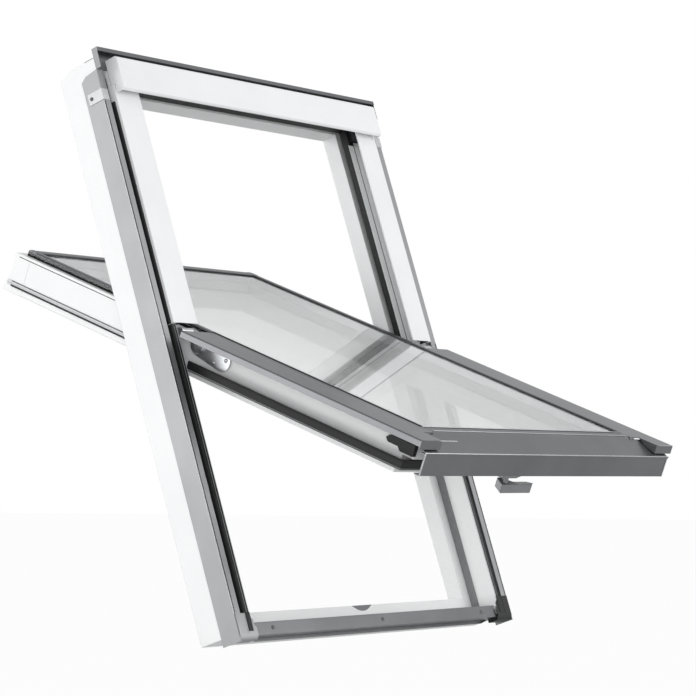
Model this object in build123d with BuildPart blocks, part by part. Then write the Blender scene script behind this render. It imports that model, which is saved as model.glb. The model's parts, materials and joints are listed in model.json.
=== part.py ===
from build123d import *
import os
from math import cos, radians, sin

# Centre-pivot roof window, shown opened. The fixed frame lies in the roof slope, the glazed
# sash turns on two brake hinges, its lower half swinging out and its upper half swinging in.
# Frame places are given as u (across, from the middle), v (up the slope, from the frame's
# bottom edge) and w (outward, from the room side). Sash places are u, a (up the sash, from
# the tip of its side covers) and b (outward, from the top of its side covers).
# The origin is the middle of the sill's room-side face, where the lining board meets it.

# Setting
ROOF_PITCH = 71.6
OPEN_ANGLE = 50.6

# Frame timbers
FRAME_WIDTH = 780.0
FRAME_HEIGHT = 980.0
FRAME_DEPTH = 81.0
LINING_WIDTH = 62.0
WALL_WIDTH = 35.0
REBATE_DEPTH = 50.0
HEAD_WIDTH = 25.0
HEAD_WALL = 12.0
HEAD_FLARE = 9.0
SILL_WIDTH = 44.5
SILL_WALL = 15.0
SILL_DROP = 2.2
EDGE_ROUND = 2.0

# Grooves in the outer face of each jamb
RIM_WIDTH = 13.5
CHANNEL_WIDTH = 12.0
CHANNEL_DEPTH = 15.0
RIB_WIDTH = 4.5
RIB_DROP = 0.5
SNAP_WIDTH = 2.5
SNAP_DEPTH = 7.0
LIP_RISE = 1.3

# Sheet metal and general clearances
SHEET = 1.2
SEAT = 0.3
STEEL_PLATE = 3.0

# Frame cladding
CLADDING_HEIGHT = 36.3
CLADDING_TAIL = 13.0
CLADDING_LEG = 11.0
CLADDING_SHORT = 22.0
CLADDING_CHAMFER = 10.5
CLADDING_LEAN = 7.4
TRAY_REACH = 25.0
TRAY_RISE = 10.3
TRAY_HEM = 7.0
TRAY_SKIRT = 21.0
SILL_NOSE = 5.0
SILL_SKIRT = 21.8
SILL_HEM = 5.2
HEM_TAPER = 20.0
SILL_CLADDING_END = 10.5
CORNER_TOP = 32.0
CORNER_BOTTOM = 11.0
CORNER_CHAMFER = 12.0
CORNER_SKIRT = 60.0
CORNER_PLATE = 1.3
CORNER_NOTCH = 4.5
CORNER_NOTCH_START = 7.5
CORNER_NOSE_LENGTH = 7.0
CORNER_NOSE_FALL = 3.3

# Seals
CHANNEL_SEAL_HEIGHT = 9.5
LEDGE_SEAL_HEIGHT = 13.0
LEDGE_SEAL_WIDTH = 5.0
FRAME_SEAL_DEPTH = 39.4
FRAME_SEAL_HEIGHT = 15.4
FRAME_SEAL_PROUD = 1.5
SEAL_WEB = 4.0
SEAL_LIP = 1.6
SEAL_BULB = 3.5
SASH_SEAL_REACH = 26.5
SASH_SEAL_HIGH = 48.5
SASH_SEAL_HEIGHT = 16.0
UPPER_SEAL_HEIGHT = 10.0
UPPER_SEAL_LOW = 67.0
UPPER_SEAL_THICK = 2.5

# Covers fixed to the frame above the pivot
UPPER_COVER_RISE = 10.0
UPPER_COVER_WIDTH = 58.5
UPPER_COVER_OUTER = 24.0
UPPER_COVER_CROWN = 14.0
UPPER_COVER_FALL = 1.6
UPPER_COVER_HEM = 1.4
UPPER_COVER_START = 14.0
UPPER_COVER_TUCK = 15.0
PLUG_THICK = 4.0
HOOD_RISE = 27.0
HOOD_INSET = 26.0
HOOD_LOW = 54.5
HOOD_HIGH = 6.0
HOOD_BEVEL = 3.2
HOOD_LIP = 5.5
CAP_THICK = 1.5
BRACKET_LENGTH = 26.0
BRACKET_INSET = 2.0
BRACKET_STEP = 2.5
BRACKET_GAP = 1.0
STRAP_WIDTH = 20.0
STRAP_LENGTH = 31.0
STRAP_PLACE = 34.0

# Pivot
PIVOT_RISE = 15.0
PIVOT_OUT = 7.0
PIN_RADIUS = 4.0
PIN_PLAY = 0.05
PIN_SHOULDER = 1.0
PLATE_ROUND = 5.0
COLLAR_RADIUS = 6.0
EAR_RADIUS = 6.3
FRAME_PLATE_BELOW = 65.0
FRAME_PLATE_ABOVE = 10.0
FRAME_PLATE_DEPTH = 35.0
FRAME_PLATE_WIDTH = 34.0

# Sash
SASH_GAP = 7.0
SASH_RISE = 15.0
TIP_OVERHANG = 23.6
SASH_DEPTH = 78.0
STILE_WIDTH = 37.0
STILE_WALL = 13.0
STILE_TOP_UPPER = 9.0
BEAD_HEIGHT = 20.5
BEAD_SLOPE = 6.0
HEAD_GAP = 15.6
HEAD_FLANGE = 8.0
FLANGE_HEIGHT = 14.0
FLANGE_FALL = 2.0
SILL_GAP = 3.4
RAIL_STEP = 5.5
NOSE_GAP = 5.4
NOSE_HEIGHT = 47.0
RAIL_FRONT_WALL = 6.0
PANE = 4.0
CAVITY = 16.0
PANE_PLAY = 1.0
SPACER_WIDTH = 7.0
EDGE_SEAL_WIDTH = 8.0
TOP_LAP = 19.5

# Covers fixed to the sash
COVER_EDGE = 10.0
COVER_LAP = 9.0
COVER_FLANGE = 11.0
COVER_STEP = 38.0
COVER_END_FLANGE = 15.0
COVER_SETBACK = 23.6
COVER_ROUND = 2.0
COVER_END_GAP = 4.0
TRIM_WIDTH = 5.2
TRIM_RISE = 1.2
TRIM_ROUND = 1.2
BOTTOM_EDGE = 63.5
FOLD_AHEAD = 1.0
FIRST_FALL = 21.0
SECOND_FOLD_BELOW = 10.4
NOSE_SHEET = 1.5
NOTCH_BACK = 7.0
NOSE_HEM = 2.5
BAR_INSET = 24.0
BAR_FRONT = 4.0
BAR_TOP = 20.4
BAR_BOTTOM = 55.7
BAR_SHEET = 1.6
BAR_RETURN = 10.0
GUIDE_LENGTH = 58.0
GUIDE_THICK = 9.0
GUIDE_PROUD = 3.0
GUIDE_BELOW = 24.0
GUIDE_TIP = 6.0
GUIDE_HEEL = 32.0

# Brake hinge on the sash
HUB_RADIUS = 14.0
HUB_BACK = 21.6
HUB_BELOW = 24.0
HUB_THICK = 6.0
HINGE_ROUND = 17.0
HINGE_END_BACK = 76.6
HINGE_END_BELOW = 32.0
HINGE_END_ROUND = 17.0
HINGE_SCREW_BACK = 8.0
HUB_ROUND = 1.5
HUB_GROOVE = 10.0
HUB_BOSS = 5.0

# Handle and latch
HANDLE_U = 25.0
HANDLE_A = 88.5
HANDLE_BASE_LENGTH = 65.0
HANDLE_BASE_WIDTH = 25.0
HANDLE_BASE_HEIGHT = 12.0
HANDLE_BASE_BACK = 30.0
HANDLE_BASE_FACE = 14.0
HANDLE_BASE_BEVEL = 2.0
SPINDLE_END = 2.0
NECK_RADIUS = 6.5
SPINDLE_RADIUS = 5.0
LEVER_LENGTH = 103.0
LEVER_WIDTH = 14.0
LEVER_HEIGHT = 15.0
LEVER_SLANT = 7.5
LEVER_FRONT = 8.5
LEVER_BACK = 15.0
LEVER_POINT = 12.0
LEVER_RAMP_START = 12.0
LEVER_RAMP_END = 52.0
LEVER_DROP = 5.0
LEVER_ROUND = 1.0
BOLT_RADIUS = 4.0
BOLT_LENGTH = 24.0
BOLT_PLAY = 0.1
BOLT_U = 20.0
BOLT_B = 71.5
KEEPER_WIDTH = 55.0
KEEPER_BULGE = 10.0
KEEPER_PLATE = 2.0
KEEPER_LEG = 19.0
KEEPER_HOLE = 5.0
KEEPER_HOLE_DEPTH = 10.5

# Screws
SCREW_HEAD = 3.6
SCREW_HEAD_HEIGHT = 1.4
SCREW_SHANK = 1.7
SCREW_LENGTH = 9.0
SILL_SCREW_INSET = 28.0
SILL_SCREW_V = 6.0

os.makedirs("parts", exist_ok=True)

# Places worked out from the sizes above
half = FRAME_WIDTH / 2
lining_u = half - LINING_WIDTH
wall_u = half - WALL_WIDTH
rim_u = half - RIM_WIDTH
channel_u = rim_u - CHANNEL_WIDTH
rib_u = channel_u - RIB_WIDTH
lip_u = rib_u - SNAP_WIDTH
ledge_w = FRAME_DEPTH - REBATE_DEPTH
sash_w = FRAME_DEPTH + SASH_RISE
upper_cover_top = FRAME_DEPTH + UPPER_COVER_RISE
hood_top = FRAME_DEPTH + HOOD_RISE
cladding_low = FRAME_DEPTH - CLADDING_HEIGHT
frame_seal_low = FRAME_DEPTH - FRAME_SEAL_DEPTH
plate_low = FRAME_DEPTH - FRAME_PLATE_DEPTH
channel_floor = FRAME_DEPTH - CHANNEL_DEPTH
snap_floor = FRAME_DEPTH - SNAP_DEPTH
head_v = FRAME_HEIGHT - HEAD_WIDTH
head_wall_v = FRAME_HEIGHT - HEAD_WALL
frame_top = FRAME_HEIGHT + HEAD_FLARE
sill_top = FRAME_DEPTH - SILL_DROP
deck = FRAME_DEPTH + SHEET
cladding_end = FRAME_HEIGHT - CLADDING_SHORT
deck_end = cladding_end + CLADDING_CHAMFER

pivot_v = FRAME_HEIGHT / 2 + PIVOT_RISE
pivot_w = FRAME_DEPTH + PIVOT_OUT
pivot_a = pivot_v + TIP_OVERHANG
pivot_b = pivot_w - sash_w
stile_u = lining_u - SASH_GAP
stile_in = stile_u - STILE_WIDTH
stile_wall_u = stile_u - STILE_WALL
unit_u = stile_wall_u - PANE_PLAY
glass_top = -SHEET - SEAT
rebate_b = glass_top - 2 * PANE - CAVITY
rail_low_a = SILL_WIDTH + SILL_GAP + TIP_OVERHANG
rail_a = rail_low_a - RAIL_STEP
rail_in = rail_a + STILE_WIDTH
nose_a = SILL_WALL + NOSE_GAP + TIP_OVERHANG
nose_wall_a = nose_a + RAIL_FRONT_WALL
unit_low = nose_wall_a + PANE_PLAY
flange_a = head_v - HEAD_GAP + TIP_OVERHANG
top_a = flange_a - HEAD_FLANGE
top_in = top_a - STILE_WIDTH
top_wall_a = top_a - STILE_WALL
unit_high = top_wall_a - PANE_PLAY
cover_end = pivot_a - COVER_SETBACK
cover_u = half - COVER_EDGE
cover_lap_u = unit_u - COVER_LAP
cover_face_u = stile_u + COVER_END_GAP
bar_half = half - BAR_INSET
hood_half = half - HOOD_INSET
glass_edge_top = unit_high - TOP_LAP


# Working planes
def turned(base, up, out, angle):
    """The window's own plane, swung by angle about an axis across it."""
    swing = radians(angle)
    normal = base.y_dir * sin(swing) + base.z_dir * cos(swing)
    return Plane(base.from_local_coords((0, up, out)), x_dir=base.x_dir, z_dir=normal)


def lying(base, across=0.0, up=0.0, out=0.0):
    """Plane parallel to the pane: x across, y up the slope."""
    return Plane(base.from_local_coords((across, up, out)), x_dir=base.x_dir, z_dir=base.z_dir)


def upright(base, up):
    """Section plane of a side member: x across, y outward, facing down the slope."""
    return Plane(base.from_local_coords((0, up, 0)), x_dir=base.x_dir, z_dir=-base.y_dir)


def lengthwise(base, across):
    """Section plane of a cross member: x up the slope, y outward, facing across."""
    return Plane(base.from_local_coords((across, 0, 0)), x_dir=base.y_dir, z_dir=base.x_dir)


def handed(side, *points):
    """The same outline on the left (-1) or right (1) of the window."""
    return [(side * across, out) for across, out in points]


slope = Plane.XY.rotated((ROOF_PITCH, 0, 0))
frame = lying(slope, up=-SILL_WIDTH / 2)
swing_cos = cos(radians(OPEN_ANGLE))
swing_sin = sin(radians(OPEN_ANGLE))
sash = turned(
    frame,
    pivot_v - pivot_a * swing_cos - pivot_b * swing_sin,
    pivot_w + pivot_a * swing_sin - pivot_b * swing_cos,
    OPEN_ANGLE,
)
SIDES = ((-1, "left"), (1, "right"))

# Frame jambs, grooved for the cladding, the channel seal and the snap-on covers
for side, hand in SIDES:
    with BuildPart() as jamb:
        with BuildSketch(upright(frame, frame_top)) as jamb_section:
            Polygon(
                *handed(
                    side,
                    (lining_u, 0),
                    (half, 0),
                    (half, FRAME_DEPTH),
                    (rim_u, FRAME_DEPTH),
                    (rim_u, channel_floor),
                    (channel_u, channel_floor),
                    (channel_u, FRAME_DEPTH - RIB_DROP),
                    (rib_u, FRAME_DEPTH - RIB_DROP),
                    (rib_u, snap_floor),
                    (lip_u, snap_floor),
                    (lip_u, FRAME_DEPTH + LIP_RISE),
                    (wall_u, FRAME_DEPTH + LIP_RISE),
                    (wall_u, ledge_w),
                    (lining_u, ledge_w),
                ),
                align=None,
            )
            fillet(jamb_section.vertices().group_by(Axis.Y)[0], EDGE_ROUND)
        extrude(amount=frame_top)
        with BuildSketch(lengthwise(frame, 0)):
            Polygon(
                (FRAME_HEIGHT, -1),
                (FRAME_HEIGHT, 0),
                (frame_top, ledge_w),
                (frame_top + 1, ledge_w),
                (frame_top + 1, -1),
                align=None,
            )
        extrude(amount=FRAME_WIDTH, both=True, mode=Mode.SUBTRACT)
        with BuildSketch(upright(frame, frame_top)):
            with Locations((side * (lip_u + wall_u) / 2, FRAME_DEPTH)):
                Rectangle(WALL_WIDTH, 2 * LIP_RISE, align=(Align.CENTER, Align.MIN))
        extrude(amount=frame_top - cladding_end, mode=Mode.SUBTRACT)
    jamb.part.label = f"frame_jamb_{hand}"
    export_step(jamb.part, f"parts/frame_jamb_{hand}.step")

# Frame head, stepped like the jambs and flared outward at its top
with BuildPart() as head:
    with BuildSketch(lengthwise(frame, 0)):
        Polygon(
            (head_v, 0),
            (FRAME_HEIGHT, 0),
            (frame_top, ledge_w),
            (head_v, ledge_w),
            align=None,
        )
    extrude(amount=lining_u, both=True)
    with BuildSketch(lengthwise(frame, 0)):
        Polygon(
            (head_wall_v, ledge_w),
            (frame_top, ledge_w),
            (frame_top, FRAME_DEPTH),
            (head_wall_v, FRAME_DEPTH),
            align=None,
        )
    extrude(amount=wall_u, both=True)
head.part.label = "frame_head"
export_step(head.part, "parts/frame_head.step")

# Frame sill with the pocket and bore for the keeper
keeper_radius = ((KEEPER_WIDTH / 2) ** 2 + KEEPER_BULGE**2) / (2 * KEEPER_BULGE)
keeper_centre = SILL_WIDTH - KEEPER_BULGE + keeper_radius
bolt_w = sash_w - BOLT_B
sill_screw_places = (SILL_SCREW_INSET - lining_u, 0, lining_u - SILL_SCREW_INSET)
with BuildPart() as sill:
    with BuildSketch(lengthwise(frame, 0)):
        Rectangle(SILL_WIDTH, ledge_w, align=(Align.MIN, Align.MIN))
    extrude(amount=lining_u, both=True)
    with BuildSketch(lengthwise(frame, 0)):
        Polygon(
            (0, ledge_w),
            (SILL_WALL, ledge_w),
            (SILL_WALL, sill_top),
            (0, sill_top),
            align=None,
        )
    extrude(amount=wall_u, both=True)
    with BuildSketch(lying(frame, out=ledge_w)):
        with Locations((BOLT_U, keeper_centre)):
            Circle(keeper_radius)
    extrude(amount=-KEEPER_PLATE, mode=Mode.SUBTRACT)
    with BuildSketch(lying(frame, BOLT_U, SILL_WIDTH, ledge_w)):
        Rectangle(KEEPER_WIDTH, 2 * KEEPER_PLATE)
    extrude(amount=-KEEPER_LEG, mode=Mode.SUBTRACT)
    with BuildSketch(upright(frame, SILL_WIDTH)):
        with Locations((BOLT_U, bolt_w)):
            Circle(KEEPER_HOLE)
    extrude(amount=KEEPER_HOLE_DEPTH, mode=Mode.SUBTRACT)
    with BuildSketch(lying(frame, out=sill_top)):
        with Locations(*[(u, SILL_SCREW_V) for u in sill_screw_places]):
            Circle(SCREW_SHANK)
    extrude(amount=SHEET - SCREW_LENGTH, mode=Mode.SUBTRACT)
sill.part.label = "frame_sill"
export_step(sill.part, "parts/frame_sill.step")

# Keeper: a half-round plate on the ledge with a leg that takes the latch bolt
with BuildPart() as keeper:
    with BuildSketch(lying(frame, out=ledge_w)):
        with Locations((BOLT_U, keeper_centre)):
            Circle(keeper_radius)
        with Locations((BOLT_U, SILL_WIDTH)):
            Rectangle(
                3 * keeper_radius,
                3 * keeper_radius,
                align=(Align.CENTER, Align.MIN),
                mode=Mode.SUBTRACT,
            )
    extrude(amount=-KEEPER_PLATE)
    with BuildSketch(lying(frame, BOLT_U, SILL_WIDTH, ledge_w)):
        Rectangle(KEEPER_WIDTH, KEEPER_PLATE, align=(Align.CENTER, Align.MAX))
    extrude(amount=-KEEPER_LEG)
    with BuildSketch(upright(frame, SILL_WIDTH)):
        with Locations((BOLT_U, bolt_w)):
            Circle(KEEPER_HOLE)
    extrude(amount=KEEPER_PLATE, mode=Mode.SUBTRACT)
keeper.part.label = "keeper"
export_step(keeper.part, "parts/keeper.step")

# Side cladding: a plate on the jamb's outer side, folded over its rim into the channel
for side, hand in SIDES:
    with BuildPart() as cladding:
        with BuildSketch(lengthwise(frame, side * half)):
            Polygon(
                (-CLADDING_TAIL, cladding_low),
                (cladding_end, cladding_low),
                (cladding_end + CLADDING_LEAN, cladding_low + CLADDING_CHAMFER),
                (deck_end, deck),
                (-CLADDING_TAIL, deck),
                align=None,
            )
        extrude(amount=side * SHEET)
        with BuildSketch(upright(frame, deck_end)):
            Polygon(
                *handed(
                    side,
                    (half + SHEET, deck),
                    (rim_u - SHEET, deck),
                    (rim_u - SHEET, deck - CLADDING_LEG),
                    (rim_u, deck - CLADDING_LEG),
                    (rim_u, FRAME_DEPTH),
                    (half + SHEET, FRAME_DEPTH),
                ),
                align=None,
            )
        extrude(amount=deck_end)
    cladding.part.label = f"side_cladding_{hand}"
    export_step(cladding.part, f"parts/side_cladding_{hand}.step")

# Channel seal: a ribbed rubber strip in the groove of each jamb
seal_top = channel_floor + CHANNEL_SEAL_HEIGHT
channel_outer = rim_u - SHEET
for side, hand in SIDES:
    with BuildPart() as channel_seal:
        with BuildSketch(upright(frame, cladding_end)):
            Polygon(
                *handed(
                    side,
                    (channel_u, channel_floor),
                    (channel_outer, channel_floor),
                    (channel_outer, seal_top - SEAL_LIP),
                    (channel_outer - SEAL_LIP, seal_top),
                    (channel_outer - 2 * SEAL_LIP, seal_top - 2 * SEAL_LIP),
                    (channel_u + 2 * SEAL_LIP, seal_top - 2 * SEAL_LIP),
                    (channel_u + SEAL_LIP, seal_top),
                    (channel_u, seal_top),
                ),
                align=None,
            )
        extrude(amount=cladding_end)
    channel_seal.part.label = f"channel_seal_{hand}"
    export_step(channel_seal.part, f"parts/channel_seal_{hand}.step")

# Head tray: the flat top sheet with its raised rear edge and ends
tray_end_length = FRAME_HEIGHT + TRAY_REACH - deck_end - SEAT
with BuildPart() as head_tray:
    with BuildSketch(lengthwise(frame, 0)):
        Polygon(
            (deck_end + SEAT, FRAME_DEPTH),
            (frame_top, FRAME_DEPTH),
            (frame_top, FRAME_DEPTH - TRAY_SKIRT),
            (frame_top + SHEET, FRAME_DEPTH - TRAY_SKIRT),
            (frame_top + SHEET, FRAME_DEPTH),
            (FRAME_HEIGHT + TRAY_REACH, FRAME_DEPTH),
            (FRAME_HEIGHT + TRAY_REACH, deck + TRAY_RISE + SHEET),
            (FRAME_HEIGHT + TRAY_REACH - TRAY_HEM, deck + TRAY_RISE + SHEET),
            (FRAME_HEIGHT + TRAY_REACH - TRAY_HEM, deck + TRAY_RISE),
            (FRAME_HEIGHT + TRAY_REACH - SHEET, deck + TRAY_RISE),
            (FRAME_HEIGHT + TRAY_REACH - SHEET, deck),
            (deck_end + SEAT, deck),
            align=None,
        )
    extrude(amount=half, both=True)
    for side, hand in SIDES:
        with BuildSketch(lengthwise(frame, side * half)):
            with Locations((deck_end + SEAT, deck)):
                Rectangle(tray_end_length, TRAY_RISE, align=(Align.MIN, Align.MIN))
        extrude(amount=-side * SHEET)
head_tray.part.label = "head_tray"
export_step(head_tray.part, "parts/head_tray.step")

# Sill cladding: a nosed sheet over the sill with a hemmed skirt
sill_cladding_u = wall_u - SILL_CLADDING_END
sill_deck = sill_top + SHEET
skirt_low = sill_deck - SILL_SKIRT
with BuildPart() as sill_cladding:
    with BuildSketch(lengthwise(frame, 0)):
        Polygon(
            (SILL_WALL + SHEET, sill_deck),
            (-SILL_NOSE, sill_deck),
            (-SILL_NOSE, skirt_low),
            (-SILL_NOSE - SILL_HEM, skirt_low),
            (-SILL_NOSE - SILL_HEM, skirt_low - SHEET),
            (0, skirt_low - SHEET),
            (0, skirt_low),
            (-SILL_NOSE + SHEET, skirt_low),
            (-SILL_NOSE + SHEET, sill_top),
            (SILL_WALL, sill_top),
            (SILL_WALL, sill_top - SILL_SKIRT),
            (SILL_WALL + SHEET, sill_top - SILL_SKIRT),
            align=None,
        )
    extrude(amount=sill_cladding_u, both=True)
    for side, hand in SIDES:
        with BuildSketch(lying(frame, out=skirt_low)):
            Polygon(
                (side * sill_cladding_u, -SILL_NOSE - SILL_HEM),
                (side * (sill_cladding_u - HEM_TAPER), -SILL_NOSE - SILL_HEM),
                (side * sill_cladding_u, -SILL_NOSE),
                align=None,
            )
        extrude(amount=-SHEET, mode=Mode.SUBTRACT)
    with BuildSketch(lying(frame, out=sill_deck)):
        with Locations(*[(u, SILL_SCREW_V) for u in sill_screw_places]):
            Circle(SCREW_SHANK)
    extrude(amount=-SHEET, mode=Mode.SUBTRACT)
sill_cladding.part.label = "sill_cladding"
export_step(sill_cladding.part, "parts/sill_cladding.step")

# Three screws with low round heads through the sill cladding
with BuildPart() as sill_screws:
    with BuildSketch(lying(frame, out=sill_deck)):
        with Locations(*[(u, SILL_SCREW_V) for u in sill_screw_places]):
            Circle(SCREW_SHANK)
    extrude(amount=-SCREW_LENGTH)
    with BuildSketch(lying(frame, out=sill_deck)):
        with Locations(*[(u, SILL_SCREW_V) for u in sill_screw_places]):
            Circle(SCREW_HEAD)
    extrude(amount=SCREW_HEAD_HEIGHT)
sill_screws.part.label = "sill_screws"
export_step(sill_screws.part, "parts/sill_screws.step")

# Sill corners: moulded pieces that close the channel and the end of the sill cladding
corner_low = deck + SEAT
corner_high = corner_low + CORNER_PLATE
corner_inner = sill_cladding_u + SEAT
for side, hand in SIDES:
    with BuildPart() as corner:
        with BuildSketch(lying(frame, out=corner_low)):
            Polygon(
                (side * corner_inner, -CORNER_BOTTOM),
                (side * half, -CORNER_BOTTOM),
                (side * half, CORNER_TOP),
                (side * (corner_inner + CORNER_NOTCH + CORNER_CHAMFER), CORNER_TOP),
                (side * (corner_inner + CORNER_NOTCH), CORNER_TOP - CORNER_CHAMFER),
                (side * (corner_inner + CORNER_NOTCH), CORNER_NOTCH_START + CORNER_NOTCH),
                (side * corner_inner, CORNER_NOTCH_START),
                align=None,
            )
        extrude(amount=CORNER_PLATE)
        with BuildSketch(lying(frame, out=CORNER_SKIRT)):
            with Locations((side * (corner_inner + half) / 2, -CORNER_BOTTOM)):
                Rectangle(
                    half - corner_inner,
                    CORNER_BOTTOM - SEAT,
                    align=(Align.CENTER, Align.MIN),
                )
        extrude(amount=corner_low - CORNER_SKIRT)
        with BuildSketch(lying(frame, out=corner_high)):
            with Locations((side * (channel_u + rim_u) / 2, CORNER_TOP / 2)):
                Rectangle(CHANNEL_WIDTH / 3, CORNER_TOP)
        extrude(amount=-CORNER_PLATE / 2, mode=Mode.SUBTRACT)
        with BuildSketch(lengthwise(frame, 0)):
            Polygon(
                (-CORNER_BOTTOM, corner_high - CORNER_NOSE_FALL),
                (-CORNER_BOTTOM + CORNER_NOSE_LENGTH, corner_high),
                (-CORNER_BOTTOM, corner_high),
                align=None,
            )
        extrude(amount=FRAME_WIDTH, both=True, mode=Mode.SUBTRACT)
    corner.part.label = f"sill_corner_{hand}"
    export_step(corner.part, f"parts/sill_corner_{hand}.step")

# Ledge seals: soft strips along the lower half of each jamb wall
ledge_seal_end = pivot_v - FRAME_PLATE_ABOVE / 2
for side, hand in SIDES:
    with BuildPart() as ledge_seal:
        with BuildSketch(upright(frame, ledge_seal_end)):
            Polygon(
                *handed(
                    side,
                    (wall_u, ledge_w),
                    (wall_u - LEDGE_SEAL_WIDTH, ledge_w),
                    (wall_u - LEDGE_SEAL_WIDTH, ledge_w + 2 * SEAL_LIP),
                    (wall_u - SEAL_LIP, ledge_w + LEDGE_SEAL_HEIGHT),
                    (wall_u, ledge_w + LEDGE_SEAL_HEIGHT),
                ),
                align=None,
            )
        extrude(amount=ledge_seal_end - SILL_WALL - SHEET - SEAT)
    ledge_seal.part.label = f"ledge_seal_{hand}"
    export_step(ledge_seal.part, f"parts/ledge_seal_{hand}.step")

# Frame seal above the pivot, joined at the corners of jambs and head
seal_inner = lining_u - FRAME_SEAL_PROUD
seal_high = frame_seal_low + FRAME_SEAL_HEIGHT
seal_start = pivot_v + UPPER_COVER_START + PLUG_THICK
head_seal_v = head_v - FRAME_SEAL_PROUD
with BuildPart() as frame_seal:
    for side, hand in SIDES:
        with BuildSketch(upright(frame, head_wall_v)):
            Polygon(
                *handed(
                    side,
                    (seal_inner, frame_seal_low),
                    (seal_inner + SEAL_WEB, frame_seal_low),
                    (seal_inner + SEAL_WEB, frame_seal_low + SEAL_WEB / 2),
                    (wall_u, frame_seal_low + SEAL_WEB / 2),
                    (wall_u, frame_seal_low + SEAL_WEB * 1.5),
                    (seal_inner + SEAL_WEB, frame_seal_low + SEAL_WEB * 1.5),
                    (seal_inner + SEAL_WEB, seal_high),
                    (seal_inner, seal_high),
                ),
                align=None,
            )
        extrude(amount=head_wall_v - seal_start)
    with BuildSketch(lengthwise(frame, 0)):
        Polygon(
            (head_seal_v, frame_seal_low),
            (head_seal_v + SEAL_WEB, frame_seal_low),
            (head_seal_v + SEAL_WEB, frame_seal_low + SEAL_WEB / 2),
            (head_wall_v, frame_seal_low + SEAL_WEB / 2),
            (head_wall_v, frame_seal_low + SEAL_WEB * 1.5),
            (head_seal_v + SEAL_WEB, frame_seal_low + SEAL_WEB * 1.5),
            (head_seal_v + SEAL_WEB, seal_high),
            (head_seal_v, seal_high),
            align=None,
        )
    extrude(amount=wall_u, both=True)
frame_seal.part.label = "frame_seal"
export_step(frame_seal.part, "parts/frame_seal.step")

# Upper side covers: folded sheets that snap into the jamb groove
cover_inner_u = half - UPPER_COVER_OUTER - UPPER_COVER_WIDTH
cover_outer_u = half - UPPER_COVER_OUTER
crown_u = cover_outer_u - UPPER_COVER_CROWN
cover_low = upper_cover_top - SHEET
upper_cover_start = pivot_v + UPPER_COVER_START
upper_cover_end = FRAME_HEIGHT - HOOD_LOW + UPPER_COVER_TUCK
leg_u = rib_u - SNAP_WIDTH / 4
for side, hand in SIDES:
    with BuildPart() as upper_cover:
        with BuildSketch(upright(frame, upper_cover_end)):
            Polygon(
                *handed(
                    side,
                    (cover_inner_u, cover_low - UPPER_COVER_HEM),
                    (cover_inner_u, upper_cover_top),
                    (crown_u, upper_cover_top),
                    (cover_outer_u, upper_cover_top - UPPER_COVER_FALL),
                    (cover_outer_u, seal_top + SEAT),
                    (cover_outer_u - SHEET, seal_top + SEAT),
                    (cover_outer_u - SHEET, cover_low - UPPER_COVER_FALL),
                    (crown_u, cover_low),
                    (cover_inner_u + SHEET, cover_low),
                    (cover_inner_u + SHEET, cover_low - UPPER_COVER_HEM),
                ),
                align=None,
            )
            Polygon(
                *handed(
                    side,
                    (leg_u, snap_floor + SEAT),
                    (leg_u, cover_low),
                    (leg_u - SHEET, cover_low),
                    (leg_u - SHEET, snap_floor + SEAT),
                ),
                align=None,
            )
        extrude(amount=upper_cover_end - upper_cover_start)
    upper_cover.part.label = f"upper_cover_{hand}"
    export_step(upper_cover.part, f"parts/upper_cover_{hand}.step")

# Cover plugs: black end pieces inside the lower ends of the upper covers
plug_u = stile_u + PLUG_THICK
for side, hand in SIDES:
    with BuildPart() as cover_plug:
        with BuildSketch(upright(frame, upper_cover_start + PLUG_THICK)):
            Polygon(
                *handed(
                    side,
                    (plug_u, cover_low - SEAT),
                    (crown_u, cover_low - SEAT),
                    (leg_u - SHEET - SEAT, cover_low - SEAT - UPPER_COVER_FALL / 2),
                    (leg_u - SHEET - SEAT, FRAME_DEPTH + LIP_RISE),
                    (wall_u, FRAME_DEPTH + LIP_RISE),
                    (wall_u, FRAME_DEPTH - SNAP_DEPTH),
                    (wall_u - PLUG_THICK, FRAME_DEPTH - SNAP_DEPTH),
                    (wall_u - 2 * PLUG_THICK, cover_low - PLUG_THICK),
                    (plug_u, cover_low - PLUG_THICK),
                ),
                align=None,
            )
        extrude(amount=PLUG_THICK)
    cover_plug.part.label = f"cover_plug_{hand}"
    export_step(cover_plug.part, f"parts/cover_plug_{hand}.step")

# Hood: the bevelled sheet over the head, with its moulded end caps
hood_low = FRAME_HEIGHT - HOOD_LOW
hood_high = FRAME_HEIGHT + HOOD_HIGH
hood_seat = deck + SEAT
with BuildPart() as hood:
    with BuildSketch(lengthwise(frame, 0)):
        Polygon(
            (hood_low, hood_top - HOOD_LIP),
            (hood_low, hood_top - HOOD_BEVEL),
            (hood_low + HOOD_BEVEL, hood_top),
            (hood_high - HOOD_BEVEL, hood_top),
            (hood_high, hood_top - HOOD_BEVEL),
            (hood_high, hood_seat),
            (hood_high - SHEET, hood_seat),
            (hood_high - SHEET, hood_top - HOOD_BEVEL - SHEET / 2),
            (hood_high - HOOD_BEVEL - SHEET / 2, hood_top - SHEET),
            (hood_low + HOOD_BEVEL + SHEET / 2, hood_top - SHEET),
            (hood_low + SHEET, hood_top - HOOD_BEVEL - SHEET / 2),
            (hood_low + SHEET, hood_top - HOOD_LIP),
            align=None,
        )
    extrude(amount=hood_half - CAP_THICK, both=True)
hood.part.label = "hood"
export_step(hood.part, "parts/hood.step")

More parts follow.
